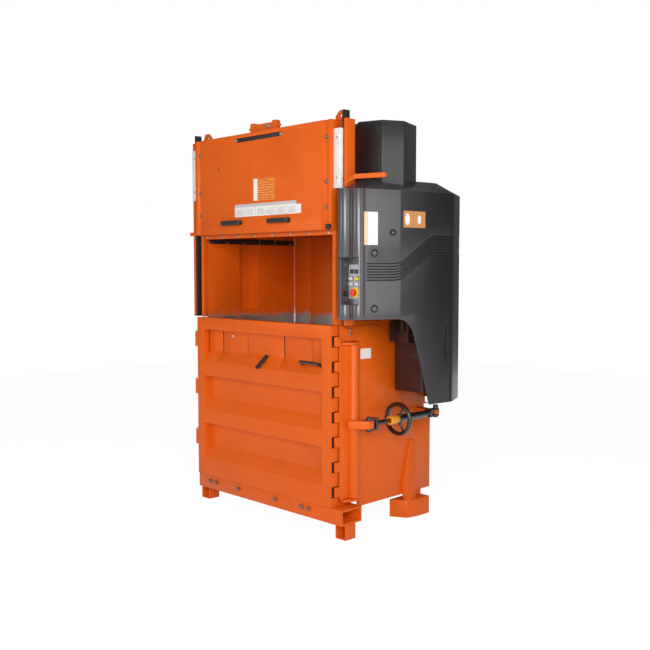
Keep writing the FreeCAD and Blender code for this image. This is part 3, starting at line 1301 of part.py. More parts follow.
def barrel(ram_y):
    """Right ram's barrel: trunnion eye, cylinder, gland and oil port, pointing down to the left."""
    pivot = Vector(ram_pivot_x, ram_y, ram_pivot_z)
    along = Vector(-ram_run, 0, -ram_drop).normalize()
    across = Vector(0, 1, 0)
    eye = cylinder(pivot - across * trunnion_width / 2, across, TRUNNION_EYE_R, trunnion_width)
    neck_end = TRUNNION_EYE_R + NECK_LENGTH
    neck = cylinder(pivot, along, BARREL_R * 0.7, neck_end)
    body = cylinder(pivot + along * neck_end, along, BARREL_R, BARREL_LENGTH)
    gland = cylinder(pivot + along * (neck_end + BARREL_LENGTH - GLAND_LENGTH), along, GLAND_R,
                     GLAND_LENGTH)
    up = across.cross(along)
    ports = [cylinder(pivot + along * d, up, PORT_R, BARREL_R + PORT_HEIGHT)
             for d in (neck_end + PORT_INSET, neck_end + BARREL_LENGTH - GLAND_LENGTH - PORT_INSET)]
    bore = cylinder(pivot + along * (neck_end + END_CAP), along, BORE_R,
                    BARREL_LENGTH - END_CAP - GLAND_LENGTH)
    rod_bore = cylinder(pivot + along * neck_end, along, ROD_R + SEAT / 10, BARREL_LENGTH + END_CAP)
    rod_bore = rod_bore.common(cylinder(pivot + along * (neck_end + BARREL_LENGTH / 2), along, BORE_R,
                                        BARREL_LENGTH))
    pin_bore = cylinder(pivot - across * trunnion_width / 2, across, TRUNNION_PIN_R + SEAT / 10,
                        trunnion_width)
    return join([eye, neck, body,
                 gland] + ports).cut(Part.makeCompound([bore])).cut(rod_bore).cut(pin_bore)


def ram_rod(ram_y):
    """Right ram's rod: piston, chromed rod and the eye with its captive pin."""
    pivot = Vector(ram_pivot_x, ram_y, ram_pivot_z)
    along = Vector(-ram_run, 0, -ram_drop).normalize()
    across = Vector(0, 1, 0)
    eye_centre = pivot + along * ram_rest_length
    eye = cylinder(eye_centre - across * EYE_WIDTH / 2, across, EYE_R, EYE_WIDTH)
    pin = cylinder(eye_centre - across * (EYE_WIDTH / 2 + EYE_SIDE_GAP - SEAT), across, EYE_PIN_R,
                   EYE_WIDTH + 2 * (EYE_SIDE_GAP - SEAT))
    piston_at = TRUNNION_EYE_R + NECK_LENGTH + END_CAP + PISTON_REST
    piston = cylinder(pivot + along * piston_at, along, BORE_R - SEAT / 10, PISTON_LENGTH)
    rod = cylinder(pivot + along * piston_at, along, ROD_R, ram_rest_length - piston_at - EYE_R / 2)
    return join([rod, piston, eye, pin])


def trunnion_bracket(ram_y):
    """Two welded plates outside the right wall that hold a ram's trunnion pin."""
    plates = []
    for s in (-1, 1):
        y_in = ram_y + s * (ram_slot_half)
        y0, y1 = sorted((y_in, y_in + s * LUG_PLATE))
        plates.append(front([(wall_outer, ram_pivot_z - TRUNNION_PLATE_DROP),
                             (ram_pivot_x, ram_pivot_z - TRUNNION_EYE_R),
                             (ram_pivot_x + TRUNNION_EYE_R, ram_pivot_z - TRUNNION_EYE_R,
                              TRUNNION_EYE_R * TRUNNION_CORNER_SHARE),
                             (ram_pivot_x + TRUNNION_EYE_R, ram_pivot_z + TRUNNION_EYE_R,
                              TRUNNION_EYE_R * TRUNNION_CORNER_SHARE),
                             (wall_outer, ram_pivot_z + TRUNNION_EYE_R)], y0, y1))
    reach = ram_slot_half + LUG_PLATE + TRUNNION_PIN_R / 2
    start = Vector(ram_pivot_x, ram_y - reach, ram_pivot_z)
    pin = cylinder(start, Vector(0, 1, 0), TRUNNION_PIN_R, 2 * reach)
    return join(plates + [pin])


def cover_plan(outset):
    """Corners of the right ram cover's plan, grown by outset away from the wall."""
    x0, y0 = wall_outer + SEAT, COVER_FRONT_Y
    shoulder = x0 + COVER_FRONT_WIDTH + outset / 2
    return [(x0, y0 - outset), (shoulder, y0 + COVER_FRONT_SLANT - outset),
            (x0 + COVER_REACH + outset, y0 + COVER_FACET_DEPTH - outset / 4),
            (shoulder, y0 + COVER_DEPTH + outset),
            (x0, y0 + COVER_DEPTH + COVER_TAIL + outset)]


def ram_cover():
    """Folded cover over the right ram's upper end, closed at the top and bevelled at its front corner."""
    top = cover_bottom + COVER_HEIGHT
    outer = plan(cover_plan(0), cover_bottom, top)
    inner = plan(cover_plan(-COVER_WALL), cover_bottom, top - COVER_WALL)
    bevel = front([(wall_outer, top), (wall_outer, top - COVER_BEVEL), (wall_outer + COVER_BEVEL, top)],
                  COVER_FRONT_Y, COVER_FRONT_Y + COVER_BEVEL)
    return outer.cut(inner).cut(bevel)


# ---- hood, controls and power unit

def hood_plan(inset):
    """Corners of the hood's plan, set in from its outer face; the wall side stays where it is."""
    back = hood_back_y - inset
    return [(side_face + SEAT, HOOD_FRONT_Y + inset), (hood_left, HOOD_FRONT_Y + inset),
            (hood_corner_x - inset * 0.6, HOOD_CORNER_Y + inset * 0.8, HOOD_CORNER_R * 0.5),
            (hood_side_x - inset, HOOD_SIDE_Y + inset * 0.35, HOOD_CORNER_R),
            (hood_reach_x - inset, hood_reach_y, HOOD_CORNER_R * 2),
            (hood_heel_x - inset * 0.8, hood_heel_y - inset * 0.6, HOOD_CORNER_R),
            (hood_heel_x - inset * 0.8 - HOOD_CORNER_R, back),
            (side_face + SEAT, back)]


def hood_ribs(inset, z0, z1):
    """Two upright half-round ribs side by side on the hood's slanted front."""
    start = Vector(hood_left, HOOD_FRONT_Y, z0)
    edge = Vector(hood_corner_x, HOOD_CORNER_Y, z0) - start
    inward = Vector(-edge.y, edge.x, 0).normalize() * RIB_SINK
    return [cylinder(start + edge * share + inward, Vector(0, 0, 1), RIB_R - inset,
                     z1 - z0) for share in PAIR_SHARES]


def hood_wire(inset, lean, z):
    """The hood's plan at height z, its front drawn back by lean."""
    share = lean / (hood_back_y - HOOD_FRONT_Y)
    return outline(hood_plan(inset),
                   lambda p: Vector(p.x, p.y + share * (hood_back_y - p.y), z)).OuterWire


def hood_block(inset):
    """The hood as a closed body: straight sides and a roof that slopes up to the machine's wall."""
    low, rim, ridge = hood_tail_bottom - 1, hood_rim_z - inset, hood_rim_z + HOOD_ROOF_RISE - inset
    sides = join([plan(hood_plan(inset), low - inset, rim)] + hood_ribs(inset, low - inset, rim))
    roof = Part.makeLoft([hood_wire(inset, 0, rim),
                          hood_wire(inset + HOOD_ROOF_RUN, HOOD_ROOF_LEAN, ridge)], True, True)
    post_space = box(side_face - POST_REACH, hood_left + inset, HOOD_FRONT_Y - RIB_R,
                     post_back + RUNNING_GAP + inset, low - inset, ridge + 1)
    return join([sides, roof]).cut(post_space)


def hood_underside(reach):
    """Everything below the hood's swept lower edge."""
    return side([(HOOD_FRONT_Y - RIB_R, hood_front_bottom),
                 (hood_curve_y, hood_front_bottom, HOOD_CURVE_R),
                 (hood_tail_y, hood_tail_bottom), (hood_back_y + 1, hood_tail_bottom),
                 (hood_back_y + 1, hood_tail_bottom - reach),
                 (HOOD_FRONT_Y - RIB_R, hood_tail_bottom - reach)],
                side_face - POST_REACH, hood_reach_x + reach)


def tray_window():
    """The block that the sunk control tray fills in the hood's front."""
    return box(hood_left + HOOD_WALL + SEAT, tray_right, HOOD_FRONT_Y - RIB_R, TRAY_BACK, tray_bottom,
               tray_top)


def wave_groove(rise):
    """Side view of one groove: level at the front, up in a double bend and level to the back."""
    low, high = door_top + WAVE_FOOT_RISE + rise, door_top + WAVE_FOOT_RISE + rise + WAVE_CLIMB
    end = hood_back_y + 1
    return side([(WAVE_START_Y, low), (WAVE_LOW_Y, low, WAVE_R), (WAVE_HIGH_Y, high, WAVE_R),
                 (end, high),
                 (end, high + GROOVE_WIDTH), (WAVE_HIGH_Y, high + GROOVE_WIDTH, WAVE_R),
                 (WAVE_LOW_Y, low + GROOVE_WIDTH, WAVE_R), (WAVE_START_Y, low + GROOVE_WIDTH)],
                side_face + HOOD_WALL, hood_reach_x + HOOD_WALL)


def hood_relief():
    """The band of wave grooves and the upright seam, as deep as the grooves go into the hood's skin."""
    skin = plan(hood_plan(-1), door_top - SEAM_DROPS[0],
                feed_top).cut(plan(hood_plan(GROOVE_DEPTH), hood_tail_bottom, gate_top))
    seam = box(side_face + HOOD_WALL, hood_reach_x + HOOD_WALL, SEAM_Y - SEAM_WIDTH / 2,
               SEAM_Y + SEAM_WIDTH / 2,
               door_top - SEAM_DROPS[0], door_top - SEAM_DROPS[1])
    grooves = [wave_groove(GROOVE_PITCH * i) for i in range(GROOVE_COUNT)]
    return skin.common(Part.makeCompound(grooves + [seam]))


def hood():
    """Moulded hood over the power unit, open to the wall and below, cut for the tray and ram cover."""
    shell = hood_block(0).cut(hood_block(HOOD_WALL))
    shell = shell.cut(box(side_face - 1, side_face + HOOD_WALL * 2, post_back + RUNNING_GAP + HOOD_WALL,
                          hood_back_y - HOOD_WALL,
                          hood_tail_bottom - 10, hood_rim_z + HOOD_ROOF_RISE - HOOD_WALL))
    cover_space = plan(cover_plan(RUNNING_GAP), cover_bottom - 3 * RUNNING_GAP, gate_top)
    return shell.cut(hood_underside(HOOD_REACH)).cut(tray_window()).cut(cover_space).cut(hood_relief())


def control_tray():
    """Sunk sheet tray that the controls sit in: left side, back, top and bottom."""
    x0 = hood_left + HOOD_WALL + SEAT
    outer = plan([(x0, HOOD_FRONT_Y + 2 * HOOD_WALL), (tray_right, TRAY_BACK), (x0, TRAY_BACK)],
                 tray_bottom, tray_top)
    inner = plan([(x0 + TRAY_SHEET, HOOD_FRONT_Y), (tray_right + TRAY_SHEET, TRAY_BACK - TRAY_SHEET),
                  (x0 + TRAY_SHEET, TRAY_BACK - TRAY_SHEET)], tray_bottom + TRAY_SHEET,
                 tray_top - TRAY_SHEET)
    return outer.cut(inner)


tray_face = TRAY_BACK - TRAY_SHEET
keypad_face = tray_face - KEYPAD_THICKNESS


def button_frame(x, z, margin):
    half_w, half_h = BUTTON_WIDTH / 2 + margin, BUTTON_HEIGHT / 2 + margin
    return [(x - half_w, z - half_h), (x + half_w, z - half_h), (x + half_w, z + half_h),
            (x - half_w, z + half_h)]


def keypad():
    """Front plate with a sunk display and four button wells."""
    x0, x1 = keypad_x
    z0, z1 = keypad_z
    plate = front([(x0, z0, 6), (x1, z0, 6), (x1, z1, 6), (x0, z1, 6)], keypad_face, tray_face)
    display = box(*display_x, keypad_face, keypad_face + 2, *display_z)
    wells = [front(button_frame(x, z, SEAT), keypad_face,
                   tray_face) for x in button_xs for z in button_zs]
    stop_hole = cylinder(Vector(stop_x, keypad_face, stop_z), Vector(0, 1, 0), STOP_RING_R + SEAT,
                         KEYPAD_THICKNESS)
    return plate.cut(Part.makeCompound([display, stop_hole] + wells))


def button(x, z):
    """One push button that stands proud of the keypad and keeps clear of the tray behind it."""
    return front(button_frame(x, z, -SEAT), keypad_face - BUTTON_RISE, tray_face - BUTTON_TRAVEL - SEAT)


def stop_ring():
    """Collar around the emergency stop."""
    return tube(Vector(stop_x, tray_face, stop_z), Vector(0, -1, 0), STOP_RING_R, STOP_HEAD_R * 0.6,
                KEYPAD_THICKNESS + STOP_RING_HEIGHT)


def emergency_stop():
    """Mushroom head on its stem."""
    y0 = tray_face - SEAT - STOP_TRAVEL
    stem_r = STOP_HEAD_R * 0.6 - SEAT
    lift = KEYPAD_THICKNESS + STOP_RING_HEIGHT + SEAT
    profile = [(0, y0), (stem_r, y0), (stem_r, y0 - lift), (STOP_HEAD_R, y0 - lift, 2),
               (STOP_HEAD_R, y0 - lift - STOP_HEAD_HEIGHT / 2, 5),
               (0, y0 - lift - STOP_HEAD_HEIGHT / 2)]
    face = outline(profile, lambda p: Vector(stop_x + p.x, p.y, stop_z))
    return face.revolve(Vector(stop_x, 0, stop_z), Vector(0, 1, 0), 360)


def selector_knob():
    """Turn knob with a grip bar on the left side of the tray."""
    x0 = hood_left + HOOD_WALL + SEAT + TRAY_SHEET + SEAT
    base = cylinder(Vector(x0, KNOB_Y, knob_z), Vector(1, 0, 0), KNOB_R, KNOB_HEIGHT / 2)
    bar = box(x0, x0 + KNOB_HEIGHT, KNOB_Y - KNOB_R / 4, KNOB_Y + KNOB_R / 4, knob_z - KNOB_R,
              knob_z + KNOB_R)
    return join([base, bar])


hood_corner = Vector(hood_corner_x, HOOD_CORNER_Y, 0)
hood_side = (Vector(hood_side_x, HOOD_SIDE_Y, 0) - hood_corner).normalize()
hood_normal = hood_side.cross(Vector(0, 0, 1))


def on_hood(y, z, lift):
    """The point of the hood's slanted side at depth y and height z."""
    return hood_corner + hood_side * ((y - HOOD_CORNER_Y) / hood_side.y) + Vector(0, 0,
                                                                                  z) + hood_normal * lift


def hood_caps():
    """Round caps over the hood's fixing screws."""
    return group(Part.makeCone(CAP_R, CAP_R * CAP_TAPER, CAP_HEIGHT, on_hood(CAP_Y, z, 0),
                               hood_normal) for z in cap_zs)


def hood_lock():
    """Quarter-turn key lock of the hood."""
    start = on_hood(KEYLOCK_Y, keylock_z, SEAT)
    body = cylinder(start, hood_normal, KEYLOCK_R, KEYLOCK_HEIGHT)
    slot = Part.makeBox(KEYLOCK_R / 5, KEYLOCK_R, KEYLOCK_HEIGHT)
    slot.translate(Vector(-KEYLOCK_R / 10, -KEYLOCK_R / 2, 0))
    turn = FreeCAD.Placement(start + hood_normal * (KEYLOCK_HEIGHT * KEYLOCK_STEP_SHARE),
                             FreeCAD.Rotation(Vector(0, 0, 1), hood_normal))
    slot.Placement = turn.multiply(slot.Placement)
    return body.cut(slot)


def oil_tank():
    """Folded tank with rounded corners, hung on two rails from the chamber wall."""
    x0, x1 = tank_x
    y0, y1 = tank_y
    z0, z1 = tank_z
    t = TANK_SHEET
    outer = plan([(x0, y0, TANK_CORNER), (x1, y0, TANK_CORNER), (x1, y1, TANK_CORNER),
                  (x0, y1, TANK_CORNER)], z0, z1)
    inner = plan([(x0 + t, y0 + t, TANK_CORNER - t), (x1 - t, y0 + t, TANK_CORNER - t),
                  (x1 - t, y1 - t, TANK_CORNER - t), (x0 + t, y1 - t, TANK_CORNER - t)], z0 + t, z1 - t)
    rails = [box(wall_outer, x0, y1 - 3 * TANK_RAIL, y1 - TANK_RAIL, z, z + TANK_RAIL)
             for z in (z0 + TANK_RAIL, z1 - 2 * TANK_RAIL)]
    return join([outer] + rails).cut(inner)


def tank_middle():
    return Vector(sum(tank_x) / 2, sum(tank_y) / 2, tank_z[1])


def pump_motor():
    """Upright finned motor on the tank with its fan cowl."""
    foot = tank_middle()
    up = Vector(0, 0, 1)
    flange = cylinder(foot, up, MOTOR_FLANGE_R, MOTOR_FLANGE)
    body = cylinder(foot, up, MOTOR_R, MOTOR_FLANGE + MOTOR_HEIGHT)
    cuts = []
    for i in range(MOTOR_FINS):
        slot = box(MOTOR_R - MOTOR_FIN_DEPTH, MOTOR_R + 1, -MOTOR_FIN_WIDTH / 2, MOTOR_FIN_WIDTH / 2,
                   MOTOR_FLANGE + MOTOR_FIN_WIDTH, MOTOR_FLANGE + MOTOR_HEIGHT - MOTOR_COWL)
        slot.rotate(Vector(0, 0, 0), up, 360.0 * (i + 0.5) / MOTOR_FINS)
        cuts.append(slot.translate(foot))
    crest = Part.makeCone(MOTOR_R, MOTOR_R * MOTOR_CREST_TAPER, MOTOR_COWL / 2,
                          foot + up * (MOTOR_FLANGE + MOTOR_HEIGHT), up)
    return join([flange, body, crest]).cut(Part.makeCompound(cuts))


def valve_block():
    """Manifold block with two solenoids beside the motor."""
    x0 = tank_x[0] + TANK_CORNER
    y0 = tank_y[0] + SEAT
    block = box(x0, x0 + VALVE_SIZE, y0, y0 + VALVE_SIZE / 2, tank_z[1], tank_z[1] + VALVE_HEIGHT)
    z = tank_z[1] + VALVE_HEIGHT
    coils = [cylinder(Vector(x0 + VALVE_SIZE * share, y0 + VALVE_SIZE / 4, z), Vector(0, 0, 1),
                      SOLENOID_R, SOLENOID_LENGTH)
             for share in PAIR_SHARES]
    return join([block] + coils)


def wall_strips():
    """Bolted wear strips across the inner faces of the side walls."""
    strips = []
    for s in (-1, 1):
        x0, x1 = sorted((s * chamber_half, s * (chamber_half - WALL_STRIP_THICKNESS)))
        strips.append(box(x0, x1, chamber_front + 2 * RUNNING_GAP, chamber_front + WALL_STRIP_LENGTH,
                          wall_strip_z,
                          wall_strip_z + WALL_STRIP_HEIGHT))
    return group(strips)


def side_bolts():
    """Hexagon bolts at the upper front of the right casing sheet."""
    return group(bolt(Vector(side_face, COLUMN_Y, z), Vector(1, 0, 0), HINGE_R * 0.7, HINGE_R * 0.6)
                 for z in side_bolt_zs)


BUTTONS = [(x, z) for z in button_zs for x in button_xs]

NODES = {
    "base_beams": group([base_beam_front(), base_beam_rear()]),
    "front_feet": group([front_foot(-wall_outer - FOOT_LEFT_SPREAD, -1),
                         front_foot(beam_right + RUNNING_GAP, 1)]),
    "rear_legs": both_sides(rear_leg()),
    "chamber_floor": floor_plate(),
    "strap_hooks": strap_hooks(),
    "back_wall": back_wall(),
    "back_ribs": back_ribs(),
    "side_wall_left": mirror_x(side_wall(LEFT_RAM_Y, RIGHT_RAM_Y, left_cover_back)),
    "side_wall_right": side_wall(RIGHT_RAM_Y, LEFT_RAM_Y, right_cover_back),
    "wall_pockets": group([mirror_x(ram_pocket(RIGHT_RAM_Y)), ram_pocket(LEFT_RAM_Y)]),
    "side_panel_left": mirror_x(side_panel()),
    "side_panel_right": side_panel(),
    "side_cheeks": both_sides(side_cheek()),
    "side_bolts": side_bolts(),
    "posts": group([mirror_x(post()), post(), gate_stop(), hood_bar()]),
    "wear_strips": group([mirror_x(guide_strip()), guide_strip(), wall_strips()]),
    "lintel": lintel(),
    "crown": crown(),
    "lifting_lugs": group([mirror_x(lifting_lug()), lifting_lug()] + top_bracket()),
    "ram_brackets": group([mirror_x(trunnion_bracket(LEFT_RAM_Y)), trunnion_bracket(RIGHT_RAM_Y)]),
    "ram_covers": group([ram_cover(), half_turn(ram_cover())]),
    "hinge_brackets": frame_hinge_leaves(),
    "hinge_pins": hinge_pins(),
    "lock_brackets": group([lock_brackets(), lock_anchor()]),
    "hood": hood(),
    "hood_caps": hood_caps(),
    "control_tray": control_tray(),
    "keypad": keypad(),
    "stop_ring": stop_ring(),
    "oil_tank": oil_tank(),
    "pump_motor": pump_motor(),
    "valve_block": valve_block(),
    "gate_sheet": gate_sheet(),
    "gate_strip": gate_strip(),
    "gate_grips": gate_grips(),
    "gate_shoes": both_sides(gate_shoe()),
    "gate_bolts": gate_bolts(),
    "door_frame": door_frame(),
    "door_liner": door_liner(),
    "door_hinges": door_hinge_leaves(),
    "door_handle": door_handle(),
    "latch_lever": latch_lever(),
    "platen": platen(),
    "platen_lugs": platen_lugs(),
    "ram_barrel_left": mirror_x(barrel(LEFT_RAM_Y)),
    "ram_barrel_right": barrel(RIGHT_RAM_Y),
    "ram_rod_left": mirror_x(ram_rod(LEFT_RAM_Y)),
    "ram_rod_right": ram_rod(RIGHT_RAM_Y),
    "claw_plate": claw_plate(),
    "lock_rod": lock_rod(),
    "lock_fork": rear_fork(),
    "handwheel": handwheel(),
    "wheel_sleeve": wheel_sleeve(),
    "hood_lock": hood_lock(),
    "selector_knob": selector_knob(),
    "emergency_stop": emergency_stop(),
}
for i, (x, z) in enumerate(BUTTONS):
    NODES["button_%d" % (i + 1)] = button(x, z)

# ---- the origin moves to the middle of the plan, on the floor
whole = Part.makeCompound(list(NODES.values())).BoundBox
ORIGIN = Vector(-(whole.XMin + whole.XMax) / 2, -(whole.YMin + whole.YMax) / 2, -whole.ZMin)

os.makedirs("parts", exist_ok=True)
for node, shape in NODES.items():
    moved = shape.copy()
    moved.translate(ORIGIN)
    moved.exportStep("parts/%s.step" % node)
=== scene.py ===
# Looks of the vertical baler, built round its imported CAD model. Laid out as an add-on, run as a script.
import json
import math

import bpy
from mathutils import Matrix, Vector

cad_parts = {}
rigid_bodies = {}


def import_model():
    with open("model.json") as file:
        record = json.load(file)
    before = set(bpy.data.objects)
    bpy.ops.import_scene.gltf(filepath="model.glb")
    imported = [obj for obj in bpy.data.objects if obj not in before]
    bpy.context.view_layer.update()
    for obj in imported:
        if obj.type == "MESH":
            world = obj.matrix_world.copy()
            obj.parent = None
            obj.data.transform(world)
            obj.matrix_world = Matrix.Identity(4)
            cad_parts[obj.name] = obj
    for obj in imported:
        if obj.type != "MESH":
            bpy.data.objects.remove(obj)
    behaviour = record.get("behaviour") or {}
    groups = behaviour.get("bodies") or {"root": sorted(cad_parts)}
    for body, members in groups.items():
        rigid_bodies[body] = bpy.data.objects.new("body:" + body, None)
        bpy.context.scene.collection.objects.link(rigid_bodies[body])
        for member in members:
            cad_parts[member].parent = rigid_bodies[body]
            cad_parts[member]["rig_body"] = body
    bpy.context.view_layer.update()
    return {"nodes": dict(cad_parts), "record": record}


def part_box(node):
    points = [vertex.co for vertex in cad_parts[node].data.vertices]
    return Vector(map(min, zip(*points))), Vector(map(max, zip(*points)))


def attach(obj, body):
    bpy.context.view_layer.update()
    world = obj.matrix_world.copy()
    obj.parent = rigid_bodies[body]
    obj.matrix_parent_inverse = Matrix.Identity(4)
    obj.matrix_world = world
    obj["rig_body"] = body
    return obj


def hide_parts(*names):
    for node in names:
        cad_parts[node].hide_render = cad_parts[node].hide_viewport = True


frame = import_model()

bl_info = {
    "name": "Vertical Baler Looks",
    "version": (1, 0, 0),
    "blender": (4, 5, 0),
    "location": "View3D > Sidebar > Baler",
    "description": "Paint, plastics, worn steel, labels and studio for a low-built vertical baler",
    "category": "Object",
}

DOOR_LOW, DOOR_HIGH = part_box("door_frame")
GATE_LOW, GATE_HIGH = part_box("gate_sheet")
HOOD_LOW, HOOD_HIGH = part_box("hood")
MM = 0.001
# Sizes below are in millimetres from the middle of the door's front face, at floor level.
DATUM = Vector(((DOOR_LOW.x + DOOR_HIGH.x) / 2, DOOR_LOW.y, 0.0))


def at(x, y, z):
    """A point in the row frame from millimetres right of, behind and above the datum."""
    return DATUM + Vector((x, y, z)) * MM


# ---- shader sums

class Wire:
    """A number or colour socket of a finish that can be used in Python sums."""

    def __init__(self, finish, socket):
        self.finish = finish
        self.socket = socket

    def sum(self, operation, first, second=0.0):
        return self.finish.node("ShaderNodeMath", {"operation": operation}, {0: first, 1: second})

    def __add__(self, other):
        return self.sum("ADD", self, other)

    def __radd__(self, other):
        return self.sum("ADD", other, self)

    def __sub__(self, other):
        return self.sum("SUBTRACT", self, other)

    def __rsub__(self, other):
        return self.sum("SUBTRACT", other, self)

    def __mul__(self, other):
        return self.sum("MULTIPLY", self, other)

    def __rmul__(self, other):
        return self.sum("MULTIPLY", other, self)

    def __truediv__(self, other):
        return self.sum("DIVIDE", self, other)

    def __abs__(self):
        return self.sum("ABSOLUTE", self)

    def above(self, low, high):
        """0 below low, 1 above high and smooth between; the other way round where high is the lower."""
        return self.finish.node("ShaderNodeMapRange", {"interpolation_type": "SMOOTHSTEP"},
                                {"Value": self, "From Min": low, "From Max": high})

    def within(self, low, high, soft):
        """1 between low and high with soft edges."""
        return self.above(low - soft, low + soft) * self.above(high + soft, high - soft)

    def wave(self, pitch):
        """A sine of the value with that pitch, from -1 to 1."""
        return self.sum("SINE", self * (2 * math.pi / pitch))

    def most(self, other):
        return self.sum("MAXIMUM", self, other)


class Finish:
    """A material whose pattern lies on Object coordinates, counted from the datum in metres."""

    def __init__(self, name, colour, roughness, metallic=0.0, coat=0.0, specular=0.5):
        self.material = bpy.data.materials.new(name)
        self.material.use_nodes = True
        self.tree = self.material.node_tree
        self.surface = self.tree.nodes["Principled BSDF"]
        self.colour = (*colour, 1.0)
        for socket, value in (("Base Color", self.colour), ("Roughness", roughness), ("Metallic", metallic),
                              ("Coat Weight", coat), ("Coat Roughness", 0.12),
                              ("Specular IOR Level", specular)):
            self.surface.inputs[socket].default_value = value
        self.coordinates = self.node("ShaderNodeTexCoord", out="Object")
        self.x, self.y, self.z = (self.node("ShaderNodeSeparateXYZ", {}, {"Vector": self.coordinates}, out)
                                  - shift for out, shift in zip("XYZ", DATUM))

    def node(self, kind, settings=None, inputs=None, out=0):
        """Adds a node: its settings first, then its sockets' values or links. Returns an output."""
        made = self.tree.nodes.new(kind)
        for key, value in (settings or {}).items():
            setattr(made, key, value)
        for key, value in (inputs or {}).items():
            if isinstance(value, Wire):
                self.tree.links.new(value.socket, made.inputs[key])
            else:
                made.inputs[key].default_value = value
        return Wire(self, made.outputs[out])

    def noise(self, scale, detail=3.0, roughness=0.55, stretch=(1, 1, 1)):
        placed = self.node("ShaderNodeVectorMath", {"operation": "MULTIPLY"},
                           {0: self.coordinates, 1: stretch})
        return self.node("ShaderNodeTexNoise", {}, {"Vector": placed, "Scale": scale, "Detail": detail,
                                                    "Roughness": roughness})

    def scratches(self, scale, stretch, low, high):
        """Thin streaks: the crests of a stretched noise."""
        return self.noise(scale, 6.0, 0.65, stretch).above(low, high)

    def mix(self, mask, first, second):
        """The first colour where the mask is 0 and the second where it is 1."""
        return self.node("ShaderNodeMix", {"data_type": "RGBA"}, {0: mask, 6: first, 7: second}, out=2)

    def set(self, socket, value):
        self.tree.links.new(value.socket, self.surface.inputs[socket])

    def bump(self, height, distance, strength=1.0):
        """Height in 0 to 1 raises the surface by up to distance, in metres."""
        self.set("Normal", self.node("ShaderNodeBump", {}, {"Height": height, "Distance": distance,
                                                            "Strength": strength}))


def rgb(red, green, blue):
    """A screen colour of 0 to 255 as the linear colour that a shader takes."""
    return tuple(((c / 255 + 0.055) / 1.055) ** 2.4 if c > 10 else c / 255 / 12.92
                 for c in (red, green, blue))


def rgba(*colour):
    return (*rgb(*colour), 1.0)


# ---- finishes

CHAMBER_INSIDE = (0.610, 0.878)     # half width and depth of the chamber's inner faces, in metres
CHAMBER_RUBBED_TO = 1.246           # height up to which waste keeps the chamber's paint off, in metres
# towards the hood's front its coat grows glossier and its colour paler; the paler colour is a painted
# highlight
HOOD_GLOSS_AND_PAINTED_SHEEN = (0.66, 0.02)           # depths between which the hood's sheen grows, in metres


def powder_orange(name="powder_orange", wear=0.3, worn_below=None):
    """Orange powder coat with orange peel and scuffs; bare steel inside the chamber below worn_below."""
    f = Finish(name, bpy.context.scene.baler_paint.body_orange, 0.46, specular=0.28)
    broad = f.noise(2.2, 4.0)
    patches = f.noise(9.0, 5.0, 0.6)
    streaks = f.scratches(26.0, (1.0, 1.0, 0.12), 0.60, 0.72)
    colour = f.mix(broad.above(0.35, 0.7) * 0.35, f.colour, rgba(210, 86, 14))
    colour = f.mix(patches.above(0.55, 0.8) * 0.25, colour, rgba(180, 66, 10))
    colour = f.mix(streaks * 0.25 * wear, colour, rgba(120, 58, 34))
    fine = f.scratches(60.0, (0.2, 1.0, 1.0), 0.68, 0.74) * wear
    colour = f.mix(fine * 0.6, colour, rgba(226, 132, 84))
    rough = 0.36 + patches * 0.14 + fine * 0.15
    peel = f.noise(700.0, 1.0)
    if worn_below is not None:
        edge = f.z + (f.noise(7.0, 5.0, 0.6) - 0.5) * 0.10
        bare = edge.above(worn_below + 0.02, worn_below - 0.02)
        rubbed = f.scratches(14.0, (1.0, 1.0, 0.15), 0.58, 0.70) * f.z.above(worn_below + 0.07, worn_below)
        half, back = CHAMBER_INSIDE
        inside = abs(f.x).above(half + 0.003, half + 0.001) * f.y.above(back + 0.003, back + 0.001)
        bare = bare.most(rubbed * 0.8) * inside
        steel = f.mix(f.noise(18.0, 6.0, 0.7), rgba(150, 146, 142), rgba(196, 192, 188))
        colour = f.mix(bare, colour, steel)
        rough = rough + bare * 0.02
        f.set("Metallic", bare * 0.85)
    f.set("Base Color", colour)
    f.set("Roughness", rough)
    f.bump(peel * 0.5 + patches * 0.5, 0.0004, 0.5)
    return f.material


def worn_steel(name="worn_steel"):
    """Bare plate rubbed bright by waste, with dull streaks along its travel."""
    f = Finish(name, rgb(170, 168, 166), 0.42, metallic=0.9)
    clouds = f.noise(5.0, 6.0, 0.62)
    streaks = f.scratches(40.0, (1.0, 1.0, 0.06), 0.45, 0.75)
    scuffs = f.scratches(30.0, (0.1, 0.4, 1.0), 0.62, 0.72)
    colour = f.mix(clouds, rgba(120, 116, 114), rgba(190, 188, 186))
    colour = f.mix(streaks * 0.5, colour, rgba(214, 212, 208))
    colour = f.mix(scuffs * 0.35, colour, rgba(92, 84, 80))
    f.set("Base Color", colour)
    f.set("Roughness", 0.34 + clouds * 0.2 + scuffs * 0.1)
    f.bump(streaks * 0.5 + scuffs * 0.5, 0.0003, 0.5)
    return f.material


